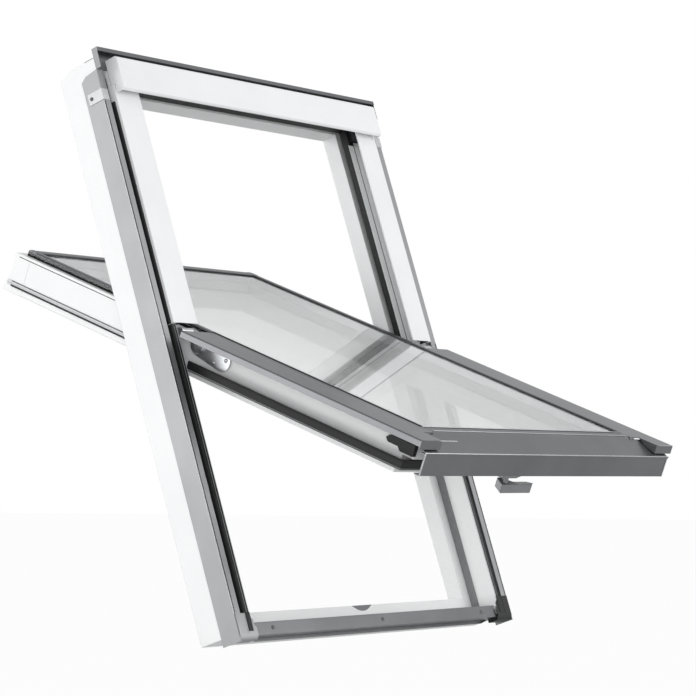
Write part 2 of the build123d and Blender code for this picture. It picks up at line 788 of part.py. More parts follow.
for side, hand in SIDES:
    with BuildPart() as hood_cap:
        with BuildSketch(lengthwise(frame, side * hood_half)):
            Polygon(
                (hood_low, upper_cover_top + SEAT),
                (hood_low, hood_top - HOOD_BEVEL),
                (hood_low + HOOD_BEVEL, hood_top),
                (hood_high - HOOD_BEVEL, hood_top),
                (hood_high, hood_top - HOOD_BEVEL),
                (hood_high, hood_seat),
                (upper_cover_end + SEAT, hood_seat),
                (upper_cover_end + SEAT, upper_cover_top + SEAT),
                align=None,
            )
        extrude(amount=-side * CAP_THICK)
    hood_cap.part.label = f"hood_cap_{hand}"
    export_step(hood_cap.part, f"parts/hood_cap_{hand}.step")

# Hood brackets: black blocks in the upper corners of the rebate
bracket_u = lining_u + BRACKET_INSET
for side, hand in SIDES:
    with BuildPart() as hood_bracket:
        with BuildSketch(upright(frame, head_wall_v - BRACKET_LENGTH / 2)):
            Polygon(
                *handed(
                    side,
                    (wall_u, seal_high + BRACKET_GAP),
                    (bracket_u, seal_high + BRACKET_GAP),
                    (bracket_u, FRAME_DEPTH - 3 * BRACKET_STEP),
                    (bracket_u + 2 * BRACKET_STEP, FRAME_DEPTH - 2 * BRACKET_STEP),
                    (wall_u, FRAME_DEPTH - 2 * BRACKET_STEP),
                ),
                align=None,
            )
        extrude(amount=BRACKET_LENGTH)
        with BuildSketch(upright(frame, head_wall_v - BRACKET_LENGTH / 2)):
            with Locations((side * bracket_u, seal_high + 2 * BRACKET_STEP)):
                Rectangle(2 * BRACKET_STEP, BRACKET_STEP)
        extrude(amount=BRACKET_LENGTH, mode=Mode.SUBTRACT)
    hood_bracket.part.label = f"hood_bracket_{hand}"
    export_step(hood_bracket.part, f"parts/hood_bracket_{hand}.step")

# Cladding straps: light tabs screwed to the outer side near the top of each jamb
strap_v = cladding_end - STRAP_PLACE
strap_screw_w = deck - STRAP_LENGTH + 2 * SCREW_HEAD
for side, hand in SIDES:
    with BuildPart() as strap:
        with BuildSketch(upright(frame, strap_v + STRAP_WIDTH / 2)):
            Polygon(
                *handed(
                    side,
                    (half + SHEET, deck - STRAP_LENGTH),
                    (half + 2 * SHEET, deck - STRAP_LENGTH),
                    (half + 2 * SHEET, deck + SHEET),
                    (rim_u, deck + SHEET),
                    (rim_u, deck),
                    (half + SHEET, deck),
                ),
                align=None,
            )
        extrude(amount=STRAP_WIDTH)
    strap.part.label = f"cladding_strap_{hand}"
    export_step(strap.part, f"parts/cladding_strap_{hand}.step")

with BuildPart() as strap_screws:
    for side, hand in SIDES:
        with BuildSketch(lengthwise(frame, side * (half + 2 * SHEET))):
            with Locations((strap_v, strap_screw_w)):
                Circle(SCREW_HEAD)
        extrude(amount=side * SCREW_HEAD_HEIGHT)
strap_screws.part.label = "strap_screws"
export_step(strap_screws.part, "parts/strap_screws.step")

# Frame side of each brake hinge: wall plate, ear, collar and pin in one casting
pin_u = stile_u + STEEL_PLATE + PIN_SHOULDER
for side, hand in SIDES:
    with BuildPart() as frame_hinge:
        with BuildSketch(lengthwise(frame, side * wall_u)) as plate_outline:
            with Locations((pivot_v + FRAME_PLATE_ABOVE, plate_low)):
                Rectangle(
                    FRAME_PLATE_ABOVE + FRAME_PLATE_BELOW,
                    FRAME_PLATE_WIDTH,
                    align=(Align.MAX, Align.MIN),
                )
            fillet(plate_outline.vertices(), PLATE_ROUND)
            with Locations((pivot_v, pivot_w)):
                Circle(EAR_RADIUS)
            with Locations((pivot_v, pivot_w)):
                Rectangle(2 * EAR_RADIUS, 2 * EAR_RADIUS, align=(Align.CENTER, Align.MAX))
        extrude(amount=-side * STEEL_PLATE)
        with BuildSketch(lengthwise(frame, side * (wall_u - STEEL_PLATE))):
            with Locations((pivot_v, pivot_w)):
                Circle(COLLAR_RADIUS)
        extrude(amount=-side * (wall_u - STEEL_PLATE - pin_u))
        with BuildSketch(lengthwise(frame, side * pin_u)):
            with Locations((pivot_v, pivot_w)):
                Circle(PIN_RADIUS)
        extrude(amount=-side * (pin_u - stile_u - SEAT))
    frame_hinge.part.label = f"hinge_frame_{hand}"
    export_step(frame_hinge.part, f"parts/hinge_frame_{hand}.step")

# Sash stiles: rebated for the glass, cut lower outside above the pivot
for side, hand in SIDES:
    with BuildPart() as stile:
        with BuildSketch(upright(sash, top_in)) as stile_section:
            Polygon(
                *handed(
                    side,
                    (stile_u, glass_top),
                    (stile_u, -SASH_DEPTH),
                    (stile_in, -SASH_DEPTH),
                    (stile_in, rebate_b - BEAD_HEIGHT),
                    (stile_in + BEAD_SLOPE, rebate_b),
                    (stile_wall_u, rebate_b),
                    (stile_wall_u, glass_top),
                ),
                align=None,
            )
            fillet(stile_section.vertices().group_by(Axis.Y)[0], EDGE_ROUND)
        extrude(amount=top_in - rail_in)
        with BuildSketch(upright(sash, top_in)):
            with Locations((side * stile_u, -STILE_TOP_UPPER)):
                Rectangle(3 * STILE_WALL, STILE_TOP_UPPER, align=(Align.CENTER, Align.MIN))
        extrude(amount=top_in - cover_end, mode=Mode.SUBTRACT)
    stile.part.label = f"sash_stile_{hand}"
    export_step(stile.part, f"parts/sash_stile_{hand}.step")

# Bottom rail with its drip nose, upturned rebate ends and the bore of the latch bolt
with BuildPart() as bottom_rail:
    with BuildSketch(lengthwise(sash, 0)):
        Polygon(
            (nose_a, glass_top - 1),
            (nose_a, -NOSE_HEIGHT),
            (rail_a, -NOSE_HEIGHT),
            (rail_a, -SASH_DEPTH + FLANGE_HEIGHT + FLANGE_FALL),
            (rail_low_a, -SASH_DEPTH + FLANGE_HEIGHT),
            (rail_low_a, -SASH_DEPTH),
            (rail_in, -SASH_DEPTH),
            (rail_in, rebate_b - BEAD_HEIGHT),
            (rail_in - BEAD_SLOPE, rebate_b),
            (nose_wall_a, rebate_b),
            (nose_wall_a, glass_top - 1),
            align=None,
        )
    extrude(amount=stile_u, both=True)
    for side, hand in SIDES:
        with BuildSketch(upright(sash, rail_in)):
            Polygon(
                *handed(
                    side,
                    (stile_wall_u, rebate_b),
                    (stile_u, rebate_b),
                    (stile_u, glass_top),
                    (stile_wall_u, glass_top),
                ),
                align=None,
            )
        extrude(amount=rail_in - BOTTOM_EDGE)
        with BuildSketch(upright(sash, rail_in)):
            Polygon(
                *handed(
                    side,
                    (stile_in, rebate_b - BEAD_HEIGHT),
                    (stile_in + BEAD_SLOPE, rebate_b),
                    (stile_u, rebate_b),
                    (stile_u, rebate_b - BEAD_HEIGHT),
                ),
                align=None,
            )
        extrude(amount=BEAD_SLOPE)
    with BuildSketch(upright(sash, rail_in)):
        with Locations((BOLT_U, -BOLT_B)):
            Circle(BOLT_RADIUS + BOLT_PLAY)
    extrude(amount=rail_in - rail_low_a, mode=Mode.SUBTRACT)
bottom_rail.part.label = "sash_bottom_rail"
export_step(bottom_rail.part, "parts/sash_bottom_rail.step")

# Top rail with the flange that closes under the head
with BuildPart() as top_rail:
    with BuildSketch(lengthwise(sash, 0)):
        Polygon(
            (top_a, -STILE_TOP_UPPER),
            (top_a, -SASH_DEPTH + FLANGE_HEIGHT + 2 * FLANGE_FALL),
            (flange_a, -SASH_DEPTH + FLANGE_HEIGHT),
            (flange_a, -SASH_DEPTH),
            (top_in, -SASH_DEPTH),
            (top_in, rebate_b - BEAD_HEIGHT),
            (top_in + BEAD_SLOPE, rebate_b),
            (top_wall_a, rebate_b),
            (top_wall_a, -STILE_TOP_UPPER),
            align=None,
        )
    extrude(amount=stile_u, both=True)
    for side, hand in SIDES:
        with BuildSketch(upright(sash, top_wall_a)):
            Polygon(
                *handed(
                    side,
                    (stile_wall_u, rebate_b),
                    (stile_u, rebate_b),
                    (stile_u, -STILE_TOP_UPPER),
                    (stile_wall_u, -STILE_TOP_UPPER),
                ),
                align=None,
            )
        extrude(amount=top_wall_a - top_in)
        with BuildSketch(upright(sash, top_in + BEAD_SLOPE)):
            Polygon(
                *handed(
                    side,
                    (stile_in, rebate_b - BEAD_HEIGHT),
                    (stile_in + BEAD_SLOPE, rebate_b),
                    (stile_u, rebate_b),
                    (stile_u, rebate_b - BEAD_HEIGHT),
                ),
                align=None,
            )
        extrude(amount=BEAD_SLOPE)
top_rail.part.label = "sash_top_rail"
export_step(top_rail.part, "parts/sash_top_rail.step")

# Double glazing: two panes, the spacer frame and its edge seal
unit_length = unit_high - unit_low
unit_middle = (unit_high + unit_low) / 2
for name, pane_top in (("glass_outer", glass_top), ("glass_inner", rebate_b + PANE)):
    with BuildPart() as pane:
        with BuildSketch(lying(sash, up=unit_middle, out=pane_top)):
            Rectangle(2 * unit_u, unit_length)
        extrude(amount=-PANE)
    pane.part.label = name
    export_step(pane.part, f"parts/{name}.step")

inset = EDGE_SEAL_WIDTH + SPACER_WIDTH
for name, outer_inset, inner_inset in (
    ("glass_edge_seal", 0, EDGE_SEAL_WIDTH),
    ("glass_spacer", EDGE_SEAL_WIDTH, inset),
):
    with BuildPart() as ring:
        with BuildSketch(lying(sash, up=unit_middle, out=glass_top - PANE)):
            Rectangle(2 * (unit_u - outer_inset), unit_length - 2 * outer_inset)
            Rectangle(
                2 * (unit_u - inner_inset),
                unit_length - 2 * inner_inset,
                mode=Mode.SUBTRACT,
            )
        extrude(amount=-CAVITY)
    ring.part.label = name
    export_step(ring.part, f"parts/{name}.step")

# Glazing trim: narrow beside the lower covers, wide and rounded above the pivot
trim_outer = unit_u - SEAT
trim_inner = cover_lap_u - TRIM_WIDTH
with BuildPart() as trim:
    for side, hand in SIDES:
        with BuildSketch(upright(sash, cover_end)):
            Polygon(
                *handed(
                    side,
                    (cover_lap_u - SEAT, glass_top),
                    (cover_lap_u - SEAT, TRIM_RISE - TRIM_ROUND / 2),
                    (cover_lap_u - SEAT - TRIM_ROUND, TRIM_RISE),
                    (trim_inner + TRIM_ROUND, TRIM_RISE),
                    (trim_inner, 0),
                    (trim_inner, glass_top),
                ),
                align=None,
            )
        extrude(amount=cover_end - BOTTOM_EDGE - SEAT)
        with BuildSketch(upright(sash, unit_high - SEAT)):
            Polygon(
                *handed(
                    side,
                    (trim_outer, glass_top),
                    (trim_outer, -TRIM_ROUND / 2),
                    (trim_outer - 2 * TRIM_ROUND, TRIM_RISE),
                    (trim_inner + TRIM_ROUND, TRIM_RISE),
                    (trim_inner, 0),
                    (trim_inner, glass_top),
                ),
                align=None,
            )
        extrude(amount=unit_high - SEAT - cover_end)
    with BuildSketch(lengthwise(sash, 0)):
        Polygon(
            (glass_edge_top, glass_top),
            (glass_edge_top, 0),
            (glass_edge_top + TRIM_ROUND, TRIM_RISE),
            (unit_high - SEAT - 2 * TRIM_ROUND, TRIM_RISE),
            (unit_high - SEAT, -TRIM_ROUND / 2),
            (unit_high - SEAT, glass_top),
            align=None,
        )
    extrude(amount=trim_outer, both=True)
trim.part.label = "glazing_trim"
export_step(trim.part, "parts/glazing_trim.step")

# Lower side covers: folded sheets with a rounded shoulder, stepped in and closed at the tip
fold_a = nose_a + FOLD_AHEAD
second_fold_a = fold_a - FIRST_FALL
for side, hand in SIDES:
    with BuildPart() as side_cover:
        with BuildSketch(upright(sash, cover_end)) as cover_section:
            Polygon(
                *handed(
                    side,
                    (cover_lap_u, 0),
                    (cover_u - COVER_ROUND, 0),
                    (cover_u, -COVER_ROUND),
                    (cover_u, -COVER_FLANGE),
                    (cover_u - SHEET, -COVER_FLANGE),
                    (cover_u - SHEET, -COVER_ROUND - SHEET / 2),
                    (cover_u - COVER_ROUND - SHEET / 2, -SHEET),
                    (cover_lap_u, -SHEET),
                ),
                align=None,
            )
        extrude(amount=cover_end)
        with BuildSketch(lying(sash, side * cover_face_u)):
            Rectangle(
                cover_face_u - cover_lap_u,
                COVER_STEP,
                align=(Align.MAX if side > 0 else Align.MIN, Align.MIN),
            )
        extrude(amount=-SHEET, mode=Mode.SUBTRACT)
        with BuildSketch(lengthwise(sash, side * cover_face_u)):
            Polygon(
                (0, 0),
                (COVER_STEP, 0),
                (COVER_STEP, -SHEET),
                (second_fold_a, -SECOND_FOLD_BELOW + NOSE_SHEET + SEAT),
                (0, -COVER_END_FLANGE),
                align=None,
            )
        extrude(amount=side * SHEET)
        with BuildSketch(upright(sash, SHEET)):
            Polygon(
                *handed(
                    side,
                    (cover_face_u, 0),
                    (cover_u - COVER_ROUND, 0),
                    (cover_u, -COVER_ROUND),
                    (cover_u, -COVER_END_FLANGE),
                    (cover_face_u, -COVER_END_FLANGE),
                ),
                align=None,
            )
        extrude(amount=SHEET)
    side_cover.part.label = f"side_cover_{hand}"
    export_step(side_cover.part, f"parts/side_cover_{hand}.step")

# Cover ends: black mouldings inside the upper ends of the lower side covers
for side, hand in SIDES:
    with BuildPart() as cover_tail:
        with BuildSketch(upright(sash, cover_end)):
            Polygon(
                *handed(
                    side,
                    (cover_face_u, -SHEET),
                    (cover_u - COVER_ROUND - 1, -SHEET),
                    (cover_u - SHEET - SEAT, -COVER_ROUND - 1.5),
                    (cover_u - SHEET - SEAT, -COVER_FLANGE + 1),
                    (cover_u - 3 * COVER_ROUND, -COVER_FLANGE + 1),
                    (cover_u - 4.5 * COVER_ROUND, -SHEET - PLUG_THICK),
                    (cover_face_u, -SHEET - PLUG_THICK),
                ),
                align=None,
            )
        extrude(amount=PLUG_THICK)
    cover_tail.part.label = f"cover_end_{hand}"
    export_step(cover_tail.part, f"parts/cover_end_{hand}.step")

# Bottom cladding: a sheet that laps the glass and falls in two slopes to a hemmed nose
nose_tip_a = -BAR_FRONT - NOSE_HEM
with BuildPart() as bottom_cladding:
    with BuildSketch(lengthwise(sash, 0)):
        Polygon(
            (BOTTOM_EDGE, glass_top + SEAT + NOSE_SHEET),
            (fold_a, glass_top + SEAT / 2 + SHEET),
            (second_fold_a, -SECOND_FOLD_BELOW + NOSE_SHEET),
            (-BAR_FRONT, -BAR_TOP + SEAT + NOSE_SHEET),
            (nose_tip_a, -BAR_TOP + SEAT + NOSE_SHEET),
            (nose_tip_a, -BAR_TOP - SHEET),
            (-BAR_FRONT - SEAT, -BAR_TOP - SHEET),
            (-BAR_FRONT - SEAT, -BAR_TOP + SEAT),
            (second_fold_a, -SECOND_FOLD_BELOW),
            (fold_a, glass_top - SEAT),
            (unit_low - SEAT, glass_top + SEAT),
            (BOTTOM_EDGE, glass_top + SEAT),
            align=None,
        )
    extrude(amount=bar_half, both=True)
    for side, hand in SIDES:
        with BuildSketch(lying(sash, side * cover_lap_u, fold_a - NOTCH_BACK, SHEET)):
            Rectangle(
                (bar_half - cover_lap_u) * 2,
                BOTTOM_EDGE,
                align=(Align.MIN if side > 0 else Align.MAX, Align.MIN),
            )
        extrude(amount=-NOSE_HEIGHT, mode=Mode.SUBTRACT)
bottom_cladding.part.label = "bottom_cladding"
export_step(bottom_cladding.part, "parts/bottom_cladding.step")

# Bottom bar: the deep open section that hangs under the nose
with BuildPart() as bottom_bar:
    with BuildSketch(lengthwise(sash, 0)):
        Polygon(
            (-BAR_FRONT, -BAR_TOP),
            (-BAR_FRONT, -BAR_BOTTOM),
            (-BAR_FRONT + BAR_RETURN, -BAR_BOTTOM),
            (-BAR_FRONT + BAR_RETURN, -BAR_BOTTOM + BAR_SHEET),
            (-BAR_FRONT + BAR_SHEET, -BAR_BOTTOM + BAR_SHEET),
            (-BAR_FRONT + BAR_SHEET, -BAR_TOP - BAR_SHEET),
            (-BAR_FRONT + BAR_RETURN, -BAR_TOP - BAR_SHEET),
            (-BAR_FRONT + BAR_RETURN, -BAR_TOP),
            align=None,
        )
    extrude(amount=bar_half, both=True)
bottom_bar.part.label = "bottom_bar"
export_step(bottom_bar.part, "parts/bottom_bar.step")

# Guide blocks: black arms on the stiles that centre the sash as it closes
guide_low = nose_a - GUIDE_PROUD
for side, hand in SIDES:
    with BuildPart() as guide:
        with BuildSketch(lengthwise(sash, side * stile_u)) as guide_outline:
            Polygon(
                (guide_low, -GUIDE_BELOW),
                (guide_low + GUIDE_LENGTH - GUIDE_TIP, -GUIDE_BELOW),
                (guide_low + GUIDE_LENGTH, -GUIDE_BELOW - GUIDE_TIP),
                (guide_low + GUIDE_LENGTH - GUIDE_TIP, -GUIDE_BELOW - 2 * GUIDE_TIP),
                (guide_low + GUIDE_HEEL, -GUIDE_BELOW - 2 * GUIDE_TIP),
                (guide_low + GUIDE_HEEL - GUIDE_TIP, -GUIDE_BELOW - 3 * GUIDE_TIP),
                (guide_low, -GUIDE_BELOW - 3 * GUIDE_TIP),
                align=None,
            )
            fillet(guide_outline.vertices(), GUIDE_TIP / 4)
        extrude(amount=side * GUIDE_THICK)
    guide.part.label = f"guide_block_{hand}"
    export_step(guide.part, f"parts/guide_block_{hand}.step")

# Sash seal: a web and a deep bulb round the lower half of the sash
seal_reach_u = stile_u + SASH_SEAL_REACH
bulb_low = -SASH_SEAL_HIGH - SASH_SEAL_HEIGHT
web_high = -SASH_SEAL_HIGH - SASH_SEAL_HEIGHT / 2
seal_end = cover_end - PLUG_THICK - SHEET
with BuildPart() as sash_seal:
    for side, hand in SIDES:
        with BuildSketch(upright(sash, seal_end)):
            Polygon(
                *handed(
                    side,
                    (stile_u, web_high),
                    (stile_u, web_high - SEAL_WEB),
                    (seal_reach_u - SEAL_BULB, web_high - SEAL_WEB),
                    (seal_reach_u - SEAL_BULB, bulb_low),
                    (seal_reach_u, bulb_low),
                    (seal_reach_u, -SASH_SEAL_HIGH),
                    (seal_reach_u - SEAL_BULB, -SASH_SEAL_HIGH),
                    (seal_reach_u - SEAL_BULB, web_high),
                ),
                align=None,
            )
        extrude(amount=seal_end - nose_a)
    with BuildSketch(lengthwise(sash, 0)):
        Polygon(
            (rail_a, web_high),
            (rail_a, web_high - SEAL_WEB),
            (nose_a + SEAL_BULB, web_high - SEAL_WEB),
            (nose_a + SEAL_BULB, bulb_low),
            (nose_a, bulb_low),
            (nose_a, -SASH_SEAL_HIGH),
            (nose_a + SEAL_BULB, -SASH_SEAL_HIGH),
            (nose_a + SEAL_BULB, web_high),
            align=None,
        )
    extrude(amount=stile_u, both=True)
    with BuildSketch(lengthwise(sash, 0)):
        with Locations((nose_a, -SASH_SEAL_HIGH)):
            Rectangle(SEAL_BULB, SASH_SEAL_HEIGHT, align=(Align.MIN, Align.MAX))
    extrude(amount=seal_reach_u, both=True)
sash_seal.part.label = "sash_seal"
export_step(sash_seal.part, "parts/sash_seal.step")

# Upper sash seals: flat strips near the room side of the upper half
upper_seal_start = pivot_a + HINGE_ROUND
for side, hand in SIDES:
    with BuildPart() as upper_seal:
        with BuildSketch(upright(sash, top_a)):
            Polygon(
                *handed(
                    side,
                    (stile_u, -UPPER_SEAL_LOW),
                    (stile_u + UPPER_SEAL_THICK, -UPPER_SEAL_LOW + 0.1 * UPPER_SEAL_HEIGHT),
                    (stile_u + UPPER_SEAL_THICK, -UPPER_SEAL_LOW + 0.4 * UPPER_SEAL_HEIGHT),
                    (stile_u + UPPER_SEAL_THICK / 2, -UPPER_SEAL_LOW + UPPER_SEAL_HEIGHT / 2),
                    (stile_u + UPPER_SEAL_THICK, -UPPER_SEAL_LOW + 0.6 * UPPER_SEAL_HEIGHT),
                    (stile_u + UPPER_SEAL_THICK, -UPPER_SEAL_LOW + UPPER_SEAL_HEIGHT),
                    (stile_u, -UPPER_SEAL_LOW + UPPER_SEAL_HEIGHT),
                ),
                align=None,
            )
        extrude(amount=top_a - upper_seal_start)
    upper_seal.part.label = f"upper_seal_{hand}"
    export_step(upper_seal.part, f"parts/upper_seal_{hand}.step")

# Sash side of each brake hinge: a rounded plate, its brake hub and the bore for the pin
hub_a = pivot_a - HUB_BACK
hinge_end_a = pivot_a - HINGE_END_BACK
for side, hand in SIDES:
    with BuildPart() as sash_hinge:
        with BuildSketch(lengthwise(sash, side * stile_u)):
            with Locations((hub_a, -HUB_BELOW)):
                Circle(HINGE_ROUND)
            with Locations((hinge_end_a, -HINGE_END_BELOW)):
                Circle(HINGE_END_ROUND)
            with Locations((pivot_a, pivot_b)):
                Circle(EAR_RADIUS)
            make_hull()
            with Locations((pivot_a, pivot_b)):
                Circle(PIN_RADIUS + PIN_PLAY, mode=Mode.SUBTRACT)
        extrude(amount=side * STEEL_PLATE)
        with BuildSketch(lengthwise(sash, side * (stile_u + STEEL_PLATE))):
            with Locations((hub_a, -HUB_BELOW)):
                Circle(HUB_RADIUS)
        extrude(amount=side * HUB_THICK)
        hub_face = sash_hinge.faces().sort_by(Axis.X)[-1 if side > 0 else 0]
        chamfer(hub_face.edges(), length=HUB_ROUND)
        with BuildSketch(lengthwise(sash, side * (stile_u + STEEL_PLATE + HUB_THICK))):
            with Locations((hub_a, -HUB_BELOW)):
                Circle(HUB_GROOVE)
                Circle(HUB_BOSS, mode=Mode.SUBTRACT)
        extrude(amount=-side * HUB_ROUND, mode=Mode.SUBTRACT)
    sash_hinge.part.label = f"hinge_sash_{hand}"
    export_step(sash_hinge.part, f"parts/hinge_sash_{hand}.step")

# Hinge screws: two low heads on each sash hinge plate
with BuildPart() as hinge_screws:
    for side, hand in SIDES:
        with BuildSketch(lengthwise(sash, side * (stile_u + STEEL_PLATE))):
            with Locations(
                (hinge_end_a - HINGE_SCREW_BACK, -HINGE_END_BELOW + HINGE_SCREW_BACK / 2),
                (hinge_end_a + 2 * HINGE_SCREW_BACK, -HINGE_END_BELOW - HINGE_SCREW_BACK),
            ):
                Circle(SCREW_HEAD)
        extrude(amount=side * SCREW_HEAD_HEIGHT)
hinge_screws.part.label = "hinge_screws"
export_step(hinge_screws.part, "parts/hinge_screws.step")

# Handle base: the bevelled plate on the room side of the bottom rail
base_low = -SASH_DEPTH - HANDLE_BASE_HEIGHT
base_back = HANDLE_U - HANDLE_BASE_BACK
with BuildPart() as handle_base:
    with BuildSketch(upright(sash, HANDLE_A + HANDLE_BASE_WIDTH / 2)):
        Polygon(
            (base_back, -SASH_DEPTH),
            (base_back, base_low + HANDLE_BASE_BEVEL),
            (base_back + HANDLE_BASE_BEVEL, base_low),
            (HANDLE_U + HANDLE_BASE_FACE, base_low),
            (base_back + HANDLE_BASE_LENGTH, -SASH_DEPTH - HANDLE_BASE_HEIGHT / 2),
            (base_back + HANDLE_BASE_LENGTH, -SASH_DEPTH),
            align=None,
        )
    extrude(amount=HANDLE_BASE_WIDTH)
    with BuildSketch(lying(sash, HANDLE_U, HANDLE_A, base_low)):
        Circle(SPINDLE_RADIUS + PIN_PLAY)
    extrude(amount=HANDLE_BASE_HEIGHT - SPINDLE_END / 2, mode=Mode.SUBTRACT)
handle_base.part.label = "handle_base"
export_step(handle_base.part, "parts/handle_base.step")

# Handle lever: slanted bar with a raised root, round neck and the spindle in one casting
lever_ridge = base_low - LEVER_DROP
lever_front = HANDLE_A - LEVER_FRONT
lever_end = HANDLE_U - LEVER_BACK
lever_tip = lever_end + LEVER_LENGTH
with BuildPart() as handle_lever:
    with BuildSketch(lengthwise(sash, lever_end)):
        Polygon(
            (lever_front, lever_ridge - LEVER_SLANT),
            (lever_front, lever_ridge - LEVER_SLANT - LEVER_HEIGHT),
            (lever_front + LEVER_WIDTH, lever_ridge - LEVER_HEIGHT),
            (lever_front + LEVER_WIDTH, lever_ridge),
            align=None,
        )
    extrude(amount=LEVER_LENGTH)
    with BuildSketch(upright(sash, lever_front + LEVER_WIDTH)):
        Polygon(
            (lever_end + LEVER_RAMP_START, lever_ridge),
            (lever_end + LEVER_RAMP_END, lever_ridge - LEVER_SLANT),
            (lever_tip, lever_ridge - LEVER_SLANT),
            (lever_tip, lever_ridge),
            align=None,
        )
    extrude(amount=LEVER_WIDTH, mode=Mode.SUBTRACT)
    with BuildSketch(lying(sash, lever_tip, lever_front + LEVER_WIDTH / 2, lever_ridge)):
        for end in (-1, 1):
            Polygon(
                (0, 0),
                (0, end * LEVER_WIDTH / 2),
                (-LEVER_POINT, end * LEVER_WIDTH / 2),
                align=None,
            )
    extrude(amount=-LEVER_SLANT - LEVER_HEIGHT, mode=Mode.SUBTRACT)
    chamfer(handle_lever.faces().sort_by(Axis.X)[0].edges(), length=LEVER_ROUND)
    with BuildSketch(lying(sash, HANDLE_U, HANDLE_A, base_low - SEAT)):
        Circle(NECK_RADIUS)
    extrude(amount=-LEVER_DROP - LEVER_SLANT)
    with BuildSketch(lying(sash, HANDLE_U, HANDLE_A, base_low - SEAT)):
        Circle(SPINDLE_RADIUS)
    extrude(amount=HANDLE_BASE_HEIGHT - SPINDLE_END)
handle_lever.part.label = "handle_lever"
export_step(handle_lever.part, "parts/handle_lever.step")

# Latch bolt, drawn back flush with the rail's lower face
with BuildPart() as latch_bolt:
    with BuildSketch(upright(sash, rail_low_a + 0.5 + BOLT_LENGTH)):
        with Locations((BOLT_U, -BOLT_B)):
            Circle(BOLT_RADIUS)
    extrude(amount=BOLT_LENGTH)
    chamfer(latch_bolt.edges().filter_by(GeomType.CIRCLE).sort_by(Axis.Z)[0], length=0.8)
latch_bolt.part.label = "latch_bolt"
export_step(latch_bolt.part, "parts/latch_bolt.step")
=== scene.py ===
"""Centre-pivot roof window, half open: finishes, screws, gaskets and fine beads on its model."""

import json
import logging
import math
from dataclasses import dataclass
from enum import Enum

import bmesh
import bpy
from mathutils import Matrix, Vector


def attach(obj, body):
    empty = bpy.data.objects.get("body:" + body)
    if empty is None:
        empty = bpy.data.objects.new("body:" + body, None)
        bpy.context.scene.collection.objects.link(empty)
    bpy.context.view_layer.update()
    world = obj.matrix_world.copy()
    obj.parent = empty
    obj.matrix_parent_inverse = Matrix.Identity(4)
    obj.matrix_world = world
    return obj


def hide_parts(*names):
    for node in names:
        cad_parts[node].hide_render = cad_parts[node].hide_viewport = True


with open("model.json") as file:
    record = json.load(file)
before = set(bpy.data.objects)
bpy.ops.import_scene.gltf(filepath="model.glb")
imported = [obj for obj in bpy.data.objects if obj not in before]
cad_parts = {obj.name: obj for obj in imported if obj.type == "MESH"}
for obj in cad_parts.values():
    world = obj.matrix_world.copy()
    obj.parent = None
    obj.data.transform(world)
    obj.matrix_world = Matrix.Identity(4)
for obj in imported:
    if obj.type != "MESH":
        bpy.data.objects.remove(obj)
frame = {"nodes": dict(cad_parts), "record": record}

log = logging.getLogger("roof_window")

MM = 0.001

# Lower and upper value of something, or the two coordinates of a point
Pair = tuple[float, float]
# Corners of a section, points of an outline, or places on a face
Points = tuple[Pair, ...]

# Vertices nearer than this many millimetres are one vertex
SAME_POINT = 1e-4


class Hand(Enum):
    """Side of the window, as seen from outside."""

    LEFT = -1
    RIGHT = 1

    @property
    def word(self) -> str:
        """The side's word in node names."""
        return self.name.lower()

    @property
    def outward(self) -> Matrix:
        """Turn that points a part's own +Z away from the window on this side."""
        return Matrix.Rotation(math.radians(90 * self.value), 4, "Y")


class Texture(Enum):
    """How a finish varies over its surface."""

    SMOOTH = "even film or polish"
    SPECKLED = "fine speckle of moulding or powder"
    STREAKED = "long soft streaks along the piece"
    FLAKED = "metal flake and slight orange peel"


def linear(hex_colour: str) -> tuple[float, float, float, float]:
    """Turn an sRGB hex colour to the linear values that a shader takes.

    Args:
        hex_colour: Colour written as "#RRGGBB".

    Returns:
        Linear red, green, blue and an alpha of one.
    """
    channels = [int(hex_colour[i : i + 2], 16) / 255 for i in (1, 3, 5)]
    values = [c / 12.92 if c <= 0.04045 else ((c + 0.055) / 1.055) ** 2.4 for c in channels]
    return (values[0], values[1], values[2], 1.0)


def add_node(
    tree: bpy.types.NodeTree,
    kind: str,
    links: dict[str | int, bpy.types.NodeSocket] | None = None,
    **settings: object,
) -> bpy.types.Node:
    """Add one shader node with its settings and links.

    Args:
        tree: Node tree that takes the node.
        kind: Blender's node type, such as "ShaderNodeTexNoise".
        links: Input name or number to the output socket that feeds it.
        settings: Node properties, or input sockets written with their spaces as underscores.

    Returns:
        The new node.
    """
    node = tree.nodes.new(kind)
    for name, value in settings.items():
        socket = node.inputs.get(name.replace("_", " "))
        if socket is None:
            setattr(node, name, value)
        else:
            socket.default_value = value
    for name, output in (links or {}).items():
        tree.links.new(output, node.inputs[name])
    return node


# How many times longer than wide a streak of a drawn surface is
STREAK_LENGTH = 12
# Noise scale of the broad clouding, whose patches are about 110 mm across
CLOUD_SCALE = 9.0
# Span of the blended noise over which a finish goes from its shade to its colour
TINT_SPAN = (0.12, 0.38)
# Span of the fine noise over which the roughness swings, and how far it swings each way
WEAR_SPAN = (0.3, 0.7)
WEAR_SWING = 0.02
# Strength of the bump that draws the fine relief
RELIEF_STRENGTH = 0.6


